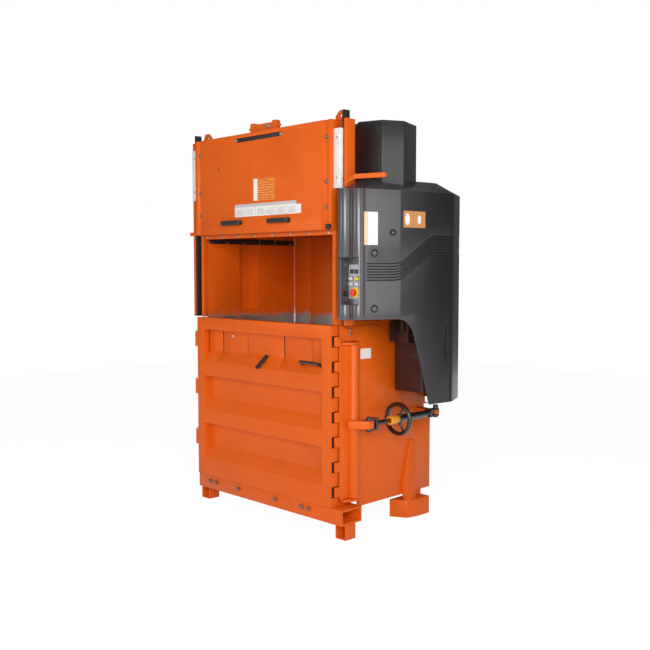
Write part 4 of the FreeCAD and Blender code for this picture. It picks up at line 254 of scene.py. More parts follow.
def hood_plastic(name="hood_plastic"):
    """Charcoal moulding with a fine grain: glossier at its front, where a painted highlight also makes it
    paler, and with painted shade in its grooves.
    """
    f = Finish(name, bpy.context.scene.baler_paint.hood_charcoal, 0.34, specular=0.45)
    f.surface.inputs["Coat Roughness"].default_value = 0.24
    grain = f.noise(420.0, 2.0, 0.5)
    clouds = f.noise(2.5, 3.0)
    handling = f.scratches(18.0, (1.0, 1.0, 0.3), 0.56, 0.8)
    colour = f.mix(clouds.above(0.3, 0.75) * 0.35, f.colour, rgba(34, 31, 35))
    colour = f.mix(handling * 0.25, colour, rgba(66, 60, 66))
    # painted highlight: the colour turns paler towards the front, where the coat also grows glossier
    gloss_and_painted_sheen = f.y.above(*HOOD_GLOSS_AND_PAINTED_SHEEN)
    colour = f.mix(gloss_and_painted_sheen * 0.8, colour, rgba(76, 71, 76))
    # painted shade: faces sunk in the grooves are made near black, and rougher and without coat
    groove = f.node("ShaderNodeAttribute", {"attribute_name": "groove"}, out="Fac")
    colour = f.mix(groove * 0.9, colour, rgba(9, 7, 8))
    f.set("Coat Weight", (gloss_and_painted_sheen * 0.9 + 0.1) * (1.0 - groove))
    f.set("Base Color", colour)
    f.set("Roughness", 0.31 + grain * 0.08 + handling * 0.12 + groove * 0.4)
    f.bump(grain, 0.00012, 0.6)
    return f.material


def black_coat(name="black_coat"):
    """Satin black powder coat, greyed with dust where it is handled."""
    f = Finish(name, rgb(16, 14, 15), 0.34, coat=0.3, specular=0.8)
    dust = f.noise(14.0, 5.0, 0.6)
    f.set("Base Color", f.mix(dust.above(0.5, 0.8) * 0.3, f.colour, rgba(38, 34, 34)))
    f.set("Roughness", 0.30 + dust * 0.2)
    f.bump(f.noise(800.0, 1.0), 0.0003, 0.4)
    return f.material


def black_moulded(name="black_moulded"):
    """Moulded black plastic with a matt grain."""
    f = Finish(name, rgb(26, 26, 28), 0.55)
    grain = f.noise(500.0, 2.0)
    f.set("Base Color", f.mix(f.noise(20.0, 3.0) * 0.3, f.colour, rgba(52, 50, 50)))
    f.set("Roughness", 0.48 + grain * 0.14)
    f.bump(grain, 0.0003, 0.5)
    return f.material


def slide_plastic(name="slide_plastic"):
    """Machined white slide plastic with faint tool marks and rubbed-in dirt."""
    f = Finish(name, rgb(226, 226, 222), 0.5, specular=0.4)
    dirt = f.noise(22.0, 5.0, 0.65)
    marks = (f.z + f.noise(3.0, 1.0) * 0.002).wave(0.0016)
    f.set("Base Color", f.mix(dirt.above(0.5, 0.8) * 0.4, f.colour, rgba(182, 176, 166)))
    f.set("Roughness", 0.45 + dirt * 0.15)
    f.bump(marks * 0.5 + 0.5, 0.00006, 0.6)
    return f.material


def zinc_plate(name="zinc_plate"):
    """Bright zinc with the faint bloom of plated bolts."""
    f = Finish(name, rgb(196, 196, 198), 0.3, metallic=0.95)
    bloom = f.noise(60.0, 4.0)
    f.set("Base Color", f.mix(bloom, rgba(168, 170, 174), rgba(214, 214, 210)))
    f.set("Roughness", 0.24 + bloom * 0.18)
    return f.material


def hard_chrome(name="hard_chrome"):
    """Ground and chromed rod with a thin film of oil."""
    f = Finish(name, rgb(222, 222, 224), 0.12, metallic=1.0)
    film = f.noise(8.0, 3.0, stretch=(1.0, 1.0, 0.3))
    f.set("Roughness", 0.08 + film * 0.14)
    f.set("Base Color", f.mix(film.above(0.4, 0.8) * 0.4, f.colour, rgba(190, 184, 170)))
    return f.material


def enamel(name, colour, roughness=0.3, dust=0.25):
    """Glossy paint or plastic with light handling marks."""
    f = Finish(name, colour, roughness, coat=0.3)
    marks = f.noise(30.0, 4.0, 0.6)
    dark = tuple(c * 0.62 for c in f.colour[:3]) + (1.0,)
    f.set("Base Color", f.mix(marks.above(0.5, 0.85) * dust, f.colour, dark))
    f.set("Roughness", roughness + marks * 0.12)
    return f.material


def label_film(name, colour, tint):
    """Printed film label, left bare, with a faint mottling."""
    f = Finish(name, colour, 0.35, coat=0.2)
    f.set("Base Color", f.mix(f.noise(16.0, 3.0).above(0.4, 0.8) * 0.4, f.colour, rgba(*tint)))
    f.set("Roughness", 0.3 + f.noise(90.0, 2.0) * 0.12)
    return f.material


def field_film(name, paper, band, field, band_low, pitch):
    """Film with a plain band along its top and a row of empty pale fields under it."""
    f = Finish(name, paper, 0.35, coat=0.2)
    fields = f.x.wave(pitch).above(-0.55, -0.45) * f.z.within(band_low - 0.052, band_low - 0.012, 0.0015)
    rules = f.x.wave(pitch).above(-0.985, -0.998)
    colour = f.mix(fields * 0.7, f.colour, rgba(*field))
    colour = f.mix(rules, colour, rgba(*band))
    colour = f.mix(f.z.above(band_low - 0.001, band_low + 0.001), colour, rgba(*band))
    f.set("Base Color", f.mix(f.noise(30.0, 4.0).above(0.5, 0.8) * 0.25, colour, rgba(176, 168, 158)))
    f.set("Roughness", 0.32 + f.noise(90.0, 2.0) * 0.12)
    return f.material


def bar_film(name, colour):
    """Clear film over the orange coat that carries rows of short plain bars."""
    f = Finish(name, bpy.context.scene.baler_paint.body_orange, 0.38, coat=0.15)
    rows = f.z.wave(0.0150).above(0.25, 0.5)
    breaks = f.noise(30.0, 1.0, stretch=(1.0, 1.0, 9.0)).above(0.40, 0.43)
    f.set("Base Color", f.mix(rows * breaks * 0.85, f.colour, rgba(*colour)))
    f.set("Roughness", 0.34 + f.noise(90.0, 2.0) * 0.12)
    return f.material


def split_film(name, left, right, edge):
    """Film in two plain colours that meet at an upright edge."""
    f = Finish(name, left, 0.34, coat=0.2)
    colour = f.mix(f.y.above(edge - 0.0008, edge + 0.0008), f.colour, rgba(*right))
    f.set("Base Color", f.mix(f.noise(26.0, 4.0).above(0.5, 0.8) * 0.25, colour, rgba(196, 176, 150)))
    f.set("Roughness", 0.3 + f.noise(90.0, 2.0) * 0.12)
    return f.material


def oval_film(name, ground, oval, centres, height, low):
    """Film with upright ovals, each (middle, half width, half height) in metres, on a plain ground."""
    f = Finish(name, ground, 0.34, coat=0.2)
    shape = 0.0
    for middle, half_width, half_height in centres:
        across = (f.y - middle) / half_width
        up = (f.z - (low + height / 2)) / half_height
        shape = (across * across + up * up).above(1.05, 0.95) + shape
    colour = f.mix(shape, f.colour, rgba(*oval))
    f.set("Base Color", f.mix(f.noise(26.0, 4.0).above(0.5, 0.8) * 0.25, colour, rgba(170, 120, 76)))
    f.set("Roughness", 0.3 + f.noise(90.0, 2.0) * 0.12)
    return f.material


# ---- sizes of the modelled pieces: places are in millimetres from the datum

LEFTWARD, RIGHTWARD, FORWARD = (-1, 0, 0), (1, 0, 0), (0, -1, 0)
MERGE_WITHIN = 0.00002              # a CAD mesh's loose corners are merged within this, in metres
FLAT_WITHIN = 0.5                   # and its triangles are made one face where they bend less, in degrees
LAID_IN = 0.2                       # a plate's foot lies this far inside the face that it is on
FILM_LIFT, FILM_WALL = 0.2, 0.3     # a curved film's gap and thickness
LABEL_WALL = 0.4

LINTEL_BOLT_XS = range(-570, 580, 163)
LINTEL_BOLT_RISE = 14               # above the lintel's lower edge
BRACKET_PLATE_Z, BRACKET_BOLT_Z, BRACKET_BOLT_X = 2451, 2455, 48
SIDE_LABEL = (634.2, 300, 1070)

STRAP_XS = (-428, -164, 176, 428)   # middles of the channels behind the gaps between the back planks
STRAP_WIDTH, STRAP_FOLD, STRAP_SHEET = 17.0, 6.5, 0.8
WALL_X = 610 - LAID_IN              # where plates on the chamber's side walls stand
BEAD_X, BEAD_Y = 607, 875           # middle of the bead in the chamber's rear corner
STRIP_SCREW_X, STRIP_SCREW_Z = 605, 1752
STRIP_SCREW_YS = tuple(92 + 147 * step for step in range(6))

GATE_LABELS = (                     # name, left, right, bottom, top
    ("label_strip", -224, 350, 1903, 1981),
    ("label_strip_end", 350, 390, 1905, 1959),
    ("label_narrow", -39, -1, 1997, 2132),
    ("label_bars", 2, 158, 1999, 2132))
GATE_PLUG = (-388, 0, 2218)
GATE_BUFFER = (621, -LAID_IN, 1816)
STRIP_END_SCREWS = ((-208, 4, 2384), (208, 4, 2384))
SHOE_SCREWS = ((-669, 18, 2090), (-669, 18, 2316), (669, 18, 2090), (669, 18, 2316))

# painted shade: a thin dark strip on the door's edge behind the claws' notches
CLAW_GAP_SHADE = (622.3, 41, 700)
DOOR_STUD = (-312, 52, 1136)

# corners of the plan of the hood's side
HOOD_CORNER, HOOD_BEND, HOOD_REAR = at(852, 51, 0), at(932, 263, 0), at(983, 692, 0)
HOOD_CUT_YS = (84, 130, 430, 600)   # planes that divide the hood's long faces, so that they shade evenly
HOOD_CUT_ZS = (960, 1150, 1320)
GROOVE_SUNK = (0.6, 20)             # a face this far inside the hood's side is part of a groove
GROOVE_FACING = -0.3                # if it doesn't face inwards more than this
GROOVE_START, GROOVE_TOP = 15, 2000
FILM_DROP = 60                      # a film falls on to the hood from this far out
CAP_DISHES, CAP_DISH_OUT = ((107, 1352), (107, 1664)), 1.0      # depth and height of each
LOCK_CORE, LOCK_CORE_OUT = (215.5, 1780), 0.5
HOOD_SLOT, HOOD_SLOT_LENGTH = (645, 1140), 197

PANE_XS, PANE_Y, PANE_Z = (758, 792), 46, 1561
TRAY_RIVETS = ((731, 20, 1520), (731, 20, 1600))
BUTTON_PLACES, BUTTON_RIM_Y = ((753, 1490), (753, 1521), (799, 1490), (799, 1521)), 44
# painted shade: dark sheets put in the shadow under the hood
SHADE_SHEETS = (                         # name, middle, size and the way that it faces
    ("rear_shade_sheet", (655, 884, 960), (70, 420), FORWARD),
    ("block_shade_sheet", (668, 560, 1196), (160, 128), RIGHTWARD))

FLOOR_SIZE = 16.0                   # in metres
FLOOR_GLOW, FLOOR_GLOW_SHARE = 1.1, 0.86    # brightness of the floor as the camera sees it, and its share
WORLD_LIGHT = 0.20                  # the backdrop's light on the machine; the camera sees it at 1
LAMPS_AIM = (0, 450, 1200)
LAMPS = (                           # name, place, size in metres, share of the lamp power
    ("key_lamp", (4500, -3900, 2500), 2.8, 1.0),
    ("fill_lamp", (-1800, -5600, 2400), 2.6, 0.3),
    ("side_lamp", (4700, 500, 2300), 2.6, 0.15),
    ("top_lamp", (0, -300, 5200), 3.0, 0.12))
CAMERA = (4084, -3495, 1581)
CAMERA_HEADING, CAMERA_TILT = 45, 3.8       # degrees to the left of straight back, and downwards
SENSOR_WIDTH = 36.0
FOCAL_PIXELS, PICTURE_PIXELS = 859, 650     # the photograph's focal length and width
CAMERA_REACH = 200.0                # in metres


# ---- modelling helpers

def deselect():
    if bpy.context.object and bpy.context.object.mode != "OBJECT":
        bpy.ops.object.mode_set(mode="OBJECT")
    bpy.ops.object.select_all(action="DESELECT")


def pick(piece):
    deselect()
    piece.select_set(True)
    bpy.context.view_layer.objects.active = piece


def apply_modifier(piece, kind, **settings):
    """Adds a modifier and applies it."""
    pick(piece)
    modifier = piece.modifiers.new(kind.title(), kind)
    for key, value in settings.items():
        setattr(modifier, key, value)
    bpy.ops.object.modifier_apply(modifier=modifier.name)


def round_edges(piece, width, segments=2, angle=30.0):
    """Rounds the edges that turn by more than the angle; the width is in millimetres."""
    apply_modifier(piece, "BEVEL", width=width * MM, segments=segments, limit_method="ANGLE",
                   angle_limit=math.radians(angle), harden_normals=False)


def soften(piece, angle=35.0, keep=True):
    """Smooth shading up to the angle; edges marked sharp before stay sharp where keep is set."""
    pick(piece)
    bpy.ops.object.shade_smooth_by_angle(angle=math.radians(angle), keep_sharp_edges=keep)


def settle(piece):
    """Puts a new piece's place into its mesh."""
    pick(piece)
    bpy.ops.object.transform_apply(location=True, rotation=True, scale=True)


def wear(piece, material, body, slot):
    """Gives a piece its one material and its body; the slot argument is not used."""
    piece.data.materials.clear()
    piece.data.materials.append(material)
    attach(piece, body)
    return piece


def dressed(node, material, edge=1.5, segments=2, smooth=35.0, cuts=()):
    """A copy of a CAD node with rounded edges that stands in for it; cuts are planes that divide it."""
    source = frame["nodes"][node]
    piece = bpy.data.objects.new("looks_" + node, source.data.copy())
    bpy.context.scene.collection.objects.link(piece)
    pick(piece)
    bpy.ops.mesh.customdata_custom_splitnormals_clear()
    bpy.ops.object.mode_set(mode="EDIT")
    bpy.ops.mesh.select_all(action="SELECT")
    bpy.ops.mesh.remove_doubles(threshold=MERGE_WITHIN)
    bpy.ops.mesh.dissolve_limited(angle_limit=math.radians(FLAT_WITHIN))
    for place, across in cuts:
        bpy.ops.mesh.select_all(action="SELECT")
        bpy.ops.mesh.bisect(plane_co=place, plane_no=across)
    bpy.ops.object.mode_set(mode="OBJECT")
    if edge:
        round_edges(piece, edge, segments)
    soften(piece, smooth, keep=not cuts)
    body = source["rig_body"]
    slot = next(s["material_slot"] for s in frame["record"]["subparts"] if s["node"] == node)
    wear(piece, material, body, slot)
    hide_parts(node)
    return piece


def plate(name, centre, size, normal, thickness, corner, material, body, slot):
    """A thin plate with rounded corners on a face: a plane with bevelled corners that is given a wall."""
    deselect()
    bpy.ops.mesh.primitive_plane_add(size=1.0)
    piece = bpy.context.object
    piece.name = name
    piece.scale = (size[0] * MM, size[1] * MM, 1.0)
    bpy.ops.object.transform_apply(scale=True)
    bpy.ops.object.mode_set(mode="EDIT")
    bpy.ops.mesh.select_all(action="SELECT")
    bpy.ops.mesh.bevel(offset=corner * MM, segments=4, affect="VERTICES")
    bpy.ops.object.mode_set(mode="OBJECT")
    apply_modifier(piece, "SOLIDIFY", thickness=thickness * MM, offset=1.0)
    return wear(stand(piece, centre, normal), material, body, slot)


def stand(piece, centre, normal, roll=0.0, laid=True):
    """Turns a piece that was made flat at the origin to face along a normal, and puts it in its place."""
    outward = Vector(normal).normalized()
    upward = Vector((0, 0, 1)) if abs(outward.z) < 0.9 else Vector((0, 1, 0))
    across = upward.cross(outward).normalized()
    turn = Matrix((across, outward.cross(across), outward)).transposed()
    piece.matrix_world = Matrix.Translation(centre) @ turn.to_4x4() @ Matrix.Rotation(roll, 4, "Z")
    if laid:
        settle(piece)
    return piece


def film(name, target, centre, size, normal, material, body, slot):
    """A printed film laid on a curved face: a fine plane dropped on to the target and given a wall."""
    deselect()
    bpy.ops.mesh.primitive_grid_add(x_subdivisions=16, y_subdivisions=16, size=1.0)
    piece = bpy.context.object
    piece.name = name
    piece.scale = (size[0] * MM, size[1] * MM, 1.0)
    bpy.ops.object.transform_apply(scale=True)
    stand(piece, centre, normal, laid=False)
    apply_modifier(piece, "SHRINKWRAP", target=target, wrap_method="PROJECT", use_project_z=True,
                   use_negative_direction=True, use_positive_direction=True, offset=FILM_LIFT * MM)
    apply_modifier(piece, "SOLIDIFY", thickness=FILM_WALL * MM, offset=1.0)
    settle(piece)
    soften(piece)
    return wear(piece, material, body, slot)


def choose(piece, test):
    """Selects in edit mode the faces whose centre and normal pass the test."""
    pick(piece)
    bpy.ops.object.mode_set(mode="EDIT")
    bpy.ops.mesh.select_mode(type="FACE")
    bpy.ops.mesh.select_all(action="DESELECT")
    bpy.ops.object.mode_set(mode="OBJECT")
    for face in piece.data.polygons:
        face.select = test(face.center, face.normal)
    bpy.ops.object.mode_set(mode="EDIT")


def turned_blank(sides, radius, height):
    """A round or six-sided blank that stands on the origin."""
    deselect()
    bpy.ops.mesh.primitive_cylinder_add(vertices=sides, radius=radius * MM, depth=height * MM,
                                        location=(0, 0, height * MM / 2))
    blank = bpy.context.object
    settle(blank)
    return blank


def drawn_up(blank, steps):
    """Draws a blank's top face up and in, by steps of (rise in millimetres, size against the last)."""
    choose(blank, lambda centre, normal: normal.z > 0.9)
    for rise, size in steps:
        bpy.ops.mesh.extrude_region_move(TRANSFORM_OT_translate={"value": (0, 0, rise * MM)})
        bpy.ops.transform.resize(value=(size, size, 1.0))
    bpy.ops.object.mode_set(mode="OBJECT")
    return blank


def hex_bolt(radius, height):
    """Hexagon head with a chamfered crown on its washer."""
    head = drawn_up(turned_blank(6, radius, height), [(0, 0.86), (height * 0.12, 0.84)])
    round_edges(head, radius * 0.06, 2, 40.0)
    washer = drawn_up(turned_blank(24, radius * 1.35, height * 0.2), [(radius * 0.05, 0.96)])
    pick(head)
    washer.select_set(True)
    bpy.ops.object.join()
    soften(head, 30.0)
    return head


def socket_screw(radius, height):
    """Low round head with a driving socket."""
    screw = drawn_up(turned_blank(24, radius, height * 0.6),
                     [(height * 0.3, 0.9), (height * 0.1, 0.8), (0, 0.62), (-height * 0.5, 0.92)])
    soften(screw, 30.0)
    return screw


def dome_stud(radius, height):
    """Pressed stud with a domed head."""
    stud = drawn_up(turned_blank(24, radius, height * 0.3), [(height * 0.3, 0.92), (height * 0.25, 0.78),
                                                             (height * 0.12, 0.55), (height * 0.03, 0.4)])
    soften(stud, 60.0)
    return stud


def plant(pattern, name, places, normal, material, body, slot):
    """Copies a fastener, each with its own mesh, to its places; the pattern itself is thrown away."""
    for number, place in enumerate(places, 1):
        piece = bpy.data.objects.new("%s_%d" % (name, number), pattern.data.copy())
        bpy.context.scene.collection.objects.link(piece)
        wear(stand(piece, place, normal, roll=0.4 * number), material, body, slot)
    bpy.data.objects.remove(pattern)


def strap_channel(name, x, low, high, material):
    """Folded channel behind the gap between two planks: a strip whose long edges are folded forward."""
    deselect()
    bpy.ops.mesh.primitive_plane_add(size=1.0)
    piece = bpy.context.object
    piece.name = name
    piece.scale = (STRAP_WIDTH * MM, high.z - low.z, 1.0)
    bpy.ops.object.transform_apply(scale=True)
    bpy.ops.object.mode_set(mode="EDIT")
    bpy.ops.mesh.select_mode(type="EDGE")
    bpy.ops.mesh.select_all(action="DESELECT")
    bpy.ops.object.mode_set(mode="OBJECT")
    for edge in piece.data.edges:
        start, end = (piece.data.vertices[index].co for index in edge.vertices)
        edge.select = abs(start.x - end.x) < MM
    bpy.ops.object.mode_set(mode="EDIT")
    bpy.ops.mesh.extrude_region_move(TRANSFORM_OT_translate={"value": (0, 0, STRAP_FOLD * MM)})
    bpy.ops.object.mode_set(mode="OBJECT")
    apply_modifier(piece, "SOLIDIFY", thickness=STRAP_SHEET * MM, offset=-1.0)
    centre = Vector((x, high.y - LAID_IN * MM, (low.z + high.z) / 2))
    return wear(stand(piece, centre, (0, -1, 0)), material, "frame", "orange_paint")


class HoodFace:
    """An upright face of the hood's side between two points of its plan."""

    def __init__(self, start, end):
        self.start = start
        self.run = (end - start).normalized()
        self.outward = self.run.cross(Vector((0, 0, 1)))

    def depth(self, spot):
        """How far a spot stands outside the face, in metres; negative inside."""
        return (spot - self.start).dot(self.outward)

    def place(self, y, z, out, shift=0.0):
        """The place at y and z on the face, moved outwards and then along the face, in millimetres."""
        run = self.run * ((at(0, y, 0).y - self.start.y) / self.run.y)
        spot = self.start + run + self.run * shift * MM + self.outward * out * MM
        return Vector((spot.x, spot.y, z * MM))


def mark_grooves(hood, front, rear):
    """Marks the faces that lie sunk in the hood's side, where the finish paints shade."""
    near, deep = (depth * MM for depth in GROOVE_SUNK)
    layer = hood.data.attributes.new("groove", "FLOAT", "FACE")
    for face in hood.data.polygons:
        spot = face.center
        sunk = -deep < max(front.depth(spot), rear.depth(spot)) < -near
        sunk = sunk and face.normal.dot(front.outward) > GROOVE_FACING
        inside = HOOD_CORNER.y + GROOVE_START * MM < spot.y < HOOD_REAR.y and spot.z < GROOVE_TOP * MM
        layer.data[face.index].value = float(sunk and inside)


# ---- what a user may change

class BalerPaint(bpy.types.PropertyGroup):
    body_orange: bpy.props.FloatVectorProperty(
        name="Body orange", description="Powder coat of the welded body, gate and door",
        subtype="COLOR", size=3, min=0.0, max=1.0, default=rgb(224, 96, 12))
    hood_charcoal: bpy.props.FloatVectorProperty(
        name="Hood charcoal", description="Moulded hood over the power unit",
        subtype="COLOR", size=3, min=0.0, max=1.0, default=rgb(22, 19, 22))
    floor_white: bpy.props.FloatVectorProperty(
        name="Floor", description="Studio floor and backdrop",
        subtype="COLOR", size=3, min=0.0, max=1.0, default=rgb(250, 250, 250))


class BalerSizes(bpy.types.PropertyGroup):
    edge_round: bpy.props.FloatProperty(
        name="Sheet edge", description="Rounding of folded sheet edges, in millimetres",
        default=2.0, min=0.2, max=6.0)
    lamp_power: bpy.props.FloatProperty(
        name="Lamp power", description="Strength of the main soft lamp",
        default=240.0, min=0.0, unit="POWER")


class PieceOperator:
    """What the operators share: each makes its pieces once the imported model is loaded."""

    bl_options = {"REGISTER", "UNDO"}

    def execute(self, context):
        if not frame["nodes"]:
            raise RuntimeError("the packed model is not loaded")
        self.make(context)
        return {"FINISHED"}


class BALER_OT_frame(PieceOperator, bpy.types.Operator):
    """Dress the welded frame: beams, feet, posts, casing sheets, brackets and strips"""
    bl_idname = "baler.dress_frame"
    bl_label = "Frame"

    def make(self, context):
        edge = context.scene.baler_sizes.edge_round
        orange = powder_orange()
        for node in ("base_beams", "front_feet", "posts", "lifting_lugs", "side_panel_left",
                     "side_panel_right", "side_cheeks", "rear_legs", "lintel", "crown", "back_ribs",
                     "ram_brackets", "lock_brackets", "hinge_brackets", "wall_pockets"):
            dressed(node, orange, edge)
        zinc = zinc_plate()
        for node in ("side_bolts", "hinge_pins"):
            dressed(node, zinc, 0.8)
        dressed("strap_hooks", enamel("hook_dusty_zinc", rgb(138, 92, 66), 0.5), 0.8)
        dressed("wear_strips", black_moulded("strip_plastic"), 1.0)
        dressed("ram_covers", black_coat("cover_black"), 5.0, 3)
        low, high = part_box("lintel")
        row = [Vector((at(x, 0, 0).x, low.y, low.z + LINTEL_BOLT_RISE * MM)) for x in LINTEL_BOLT_XS]
        plant(hex_bolt(6.5, 5.0), "lintel_bolt", row, FORWARD, zinc, "frame", "zinc")
        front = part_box("crown")[0].y
        middle = at(0, 0, 0).x
        plate("bracket_plate", Vector((middle, front + 4 * MM, BRACKET_PLATE_Z * MM)), (166, 46), FORWARD,
              4.0, 5, orange, "frame", "orange_paint")
        spot = Vector((middle + BRACKET_BOLT_X * MM, front, BRACKET_BOLT_Z * MM))
        plant(hex_bolt(12.0, 8.0), "bracket_bolt", [spot], FORWARD, zinc, "frame", "zinc")
        field = label_film("side_label", rgb(242, 238, 232), (214, 206, 196))
        plate("label_side", at(*SIDE_LABEL), (93, 61), RIGHTWARD, LABEL_WALL, 3, field, "frame",
              "orange_paint")


class BALER_OT_chamber(PieceOperator, bpy.types.Operator):
    """Dress the chamber: walls bare where the bale rubs, floor and back planks"""
    bl_idname = "baler.dress_chamber"
    bl_label = "Chamber"

    def make(self, context):
        wall = powder_orange("chamber_wall", 0.7, CHAMBER_RUBBED_TO)
        for node in ("side_wall_left", "side_wall_right", "back_wall"):
            dressed(node, wall, 1.0)
        dressed("chamber_floor", worn_steel(), 1.0)
        low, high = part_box("back_wall")
        shade = powder_orange("channel_orange", 0.6)
        for number, x in enumerate(STRAP_XS, 1):
            strap_channel("strap_channel_%d" % number, at(x, 0, 0).x, low, high, shade)
        zinc = zinc_plate("strip_zinc")
        black = black_moulded("rear_strip_plastic")
        for name, side in (("left", -1), ("right", 1)):
            inward = LEFTWARD if side > 0 else RIGHTWARD
            plate("rear_strip_" + name, at(side * WALL_X, 594, 1763), (546, 36), inward, 4.6, 2, black,
                  "frame", "black_plastic")
            plate("wall_seam_" + name, at(side * WALL_X, 545, 1505), (7, 470), inward, 1.6, 2, shade,
                  "frame", "orange_paint")
            plate("corner_bead_" + name, at(side * BEAD_X, BEAD_Y, 1121), (12, 1878), (-side, -1, 0), 1.5,
                  2, wall, "frame", "orange_paint")
            screws = [at(side * STRIP_SCREW_X, y, STRIP_SCREW_Z) for y in STRIP_SCREW_YS]
            screws += [at(side * STRIP_SCREW_X, y, STRIP_SCREW_Z + 22) for y in STRIP_SCREW_YS[3:5]]
            plant(socket_screw(6.0, 4.0), "strip_screw_" + name, screws, inward, zinc, "frame", "zinc")


class BALER_OT_gate(PieceOperator, bpy.types.Operator):
    """Dress the feed gate and set its bare label fields"""
    bl_idname = "baler.dress_gate"
    bl_label = "Feed gate"

    def make(self, context):
        dressed("gate_sheet", powder_orange("gate_orange", 0.35), 1.6)
        dressed("gate_strip", black_moulded("gate_strip_plastic"), 0.6)
        dressed("gate_grips", black_moulded("grip_plastic"), 4.0, 3)
        dressed("gate_shoes", slide_plastic(), 1.5)
        dressed("gate_bolts", enamel("bolt_dusty_zinc", rgb(128, 96, 80), 0.42), 0.8)
        white = label_film("label_white", rgb(242, 238, 232), (214, 206, 196))
        fields = field_film("label_fields", rgb(238, 234, 228), (196, 194, 196), (212, 208, 206),
                            band_low=1.962, pitch=0.0955)
        bars = bar_film("label_bars", (238, 196, 96))
        for (name, x0, x1, z0, z1), look in zip(GATE_LABELS, (fields, white, white, bars)):
            middle = at((x0 + x1) / 2, -LAID_IN, (z0 + z1) / 2)
            plate(name, middle, (x1 - x0, z1 - z0), FORWARD, LABEL_WALL, 3, look, "gate", "orange_paint")
        plant(dome_stud(5.5, 4.0), "gate_plug", [at(*GATE_PLUG)], FORWARD, black_moulded("plug_plastic"),
              "gate", "orange_paint")
        plate("gate_buffer", at(*GATE_BUFFER), (34, 30), FORWARD, 12.0, 3, black_moulded("buffer_rubber"),
              "gate", "black_plastic")
        zinc = zinc_plate("screw_zinc")
        plant(socket_screw(9.0, 3.5), "strip_end_screw", [at(*place) for place in STRIP_END_SCREWS],
              FORWARD, zinc, "gate", "zinc")
        plant(socket_screw(7.0, 4.0), "slide_screw", [at(*place) for place in SHOE_SCREWS], FORWARD, zinc,
              "gate", "zinc")


class BALER_OT_door(PieceOperator, bpy.types.Operator):
    """Dress the swing door, its liner, hinges and handles"""
    bl_idname = "baler.dress_door"
    bl_label = "Swing door"

    def make(self, context):
        dressed("door_frame", powder_orange("door_orange", 0.5), 3.0, 3)
        dressed("door_liner", worn_steel("liner_steel"), 1.0)
        dressed("door_hinges", powder_orange("hinge_orange", 0.4), 1.0)
        dressed("door_handle", black_coat("handle_black"), 1.0)
        dressed("latch_lever", black_moulded("lever_plastic"), 2.5, 3)
        # painted shade: a thin dark strip behind the claws' notches stands for the shadow in the gaps
        plate("claw_gap_shade", at(*CLAW_GAP_SHADE), (36, 1040), RIGHTWARD, 0.8, 3, black_moulded("claw_gap_shade_black"),
              "door", "black_plastic")
        plant(dome_stud(11.0, 9.0), "door_stud", [at(*DOOR_STUD)], FORWARD, zinc_plate("stud_zinc"), "door",
              "zinc")


class BALER_OT_lock(PieceOperator, bpy.types.Operator):
    """Dress the claw column, its screw, link and handwheel"""
    bl_idname = "baler.dress_lock"
    bl_label = "Claw lock"

    def make(self, context):
        dressed("claw_plate", powder_orange("claw_orange", 0.6), 1.5)
        black = black_coat("lock_black")
        for node in ("lock_rod", "lock_fork", "handwheel"):
            dressed(node, black, 0.8)
        dressed("wheel_sleeve", enamel("sleeve_yellow", rgb(236, 150, 30), 0.34), 2.0)


class BALER_OT_press(PieceOperator, bpy.types.Operator):
    """Dress the platen and the crossed rams"""
    bl_idname = "baler.dress_press"
    bl_label = "Press"

    def make(self, context):
        dressed("platen", powder_orange("platen_orange", 0.8), 2.0)
        dressed("platen_lugs", powder_orange("lug_orange", 0.4), 1.5)
        black = black_coat("barrel_black")
        chrome = hard_chrome()
        for side in ("left", "right"):
            dressed("ram_barrel_" + side, black, 2.0)
            dressed("ram_rod_" + side, chrome, 1.0)


class BALER_OT_hood(PieceOperator, bpy.types.Operator):
    """Dress the moulded hood with its caps, lock and bare label fields"""
    bl_idname = "baler.dress_hood"
    bl_label = "Hood"

    def make(self, context):
        cuts = [(at(0, y, 0), (0, 1, 0)) for y in HOOD_CUT_YS]
        cuts += [(at(0, 0, z), (0, 0, 1)) for z in HOOD_CUT_ZS]
        hood = dressed("hood", hood_plastic(), 1.2, 2, 30.0, cuts)
        front, rear = HoodFace(HOOD_CORNER, HOOD_BEND), HoodFace(HOOD_BEND, HOOD_REAR)
        mark_grooves(hood, front, rear)
        tan = rgb(232, 200, 160)
        ovals = ((0.315, 0.018, 0.034), (0.408, 0.013, 0.026))
        for name, y, z, width, height, look in (
                ("hood_label_tall", 85, 1801, 88, 184,
                 split_film("label_split", tan, (236, 234, 230), 0.068)),
                ("hood_label_wide", 361, 1858, 168, 94,
                 oval_film("label_ovals", rgb(206, 142, 84), (246, 242, 236), ovals, 0.094, 1.811))):
            film(name, hood, front.place(y, z, FILM_DROP), (width, height), front.outward, look, "frame",
                 "hood_plastic")
        dressed("hood_caps", black_moulded("cap_plastic"), 1.0)
        dressed("hood_lock", black_moulded("lock_plastic"), 0.6)
        dishes = [front.place(y, z, CAP_DISH_OUT) for y, z in CAP_DISHES]
        plant(dome_stud(13.0, 7.0), "cap_dish", dishes, front.outward,
              enamel("cap_dish_grey", rgb(92, 90, 94), 0.3), "frame", "black_plastic")
        plant(dome_stud(8.0, 6.0), "lock_core", [front.place(*LOCK_CORE, LOCK_CORE_OUT)], front.outward,
              zinc_plate("lock_zinc"), "frame", "zinc")
        # painted shade: a thin black plate stands for the shadow in the slot, beside a raised lip of hood
        # plastic
        for name, shift, width, thickness, look in (
                ("hood_slot", 0.0, 13, 0.4, black_moulded("slot_shade_black")),
                ("hood_slot_lip", 9.5, 5, 2.5, hood_plastic("lip_plastic"))):
            plate(name, rear.place(*HOOD_SLOT, LAID_IN, shift), (width, HOOD_SLOT_LENGTH), rear.outward,
                  thickness, width * 0.45, look, "frame", "hood_plastic")


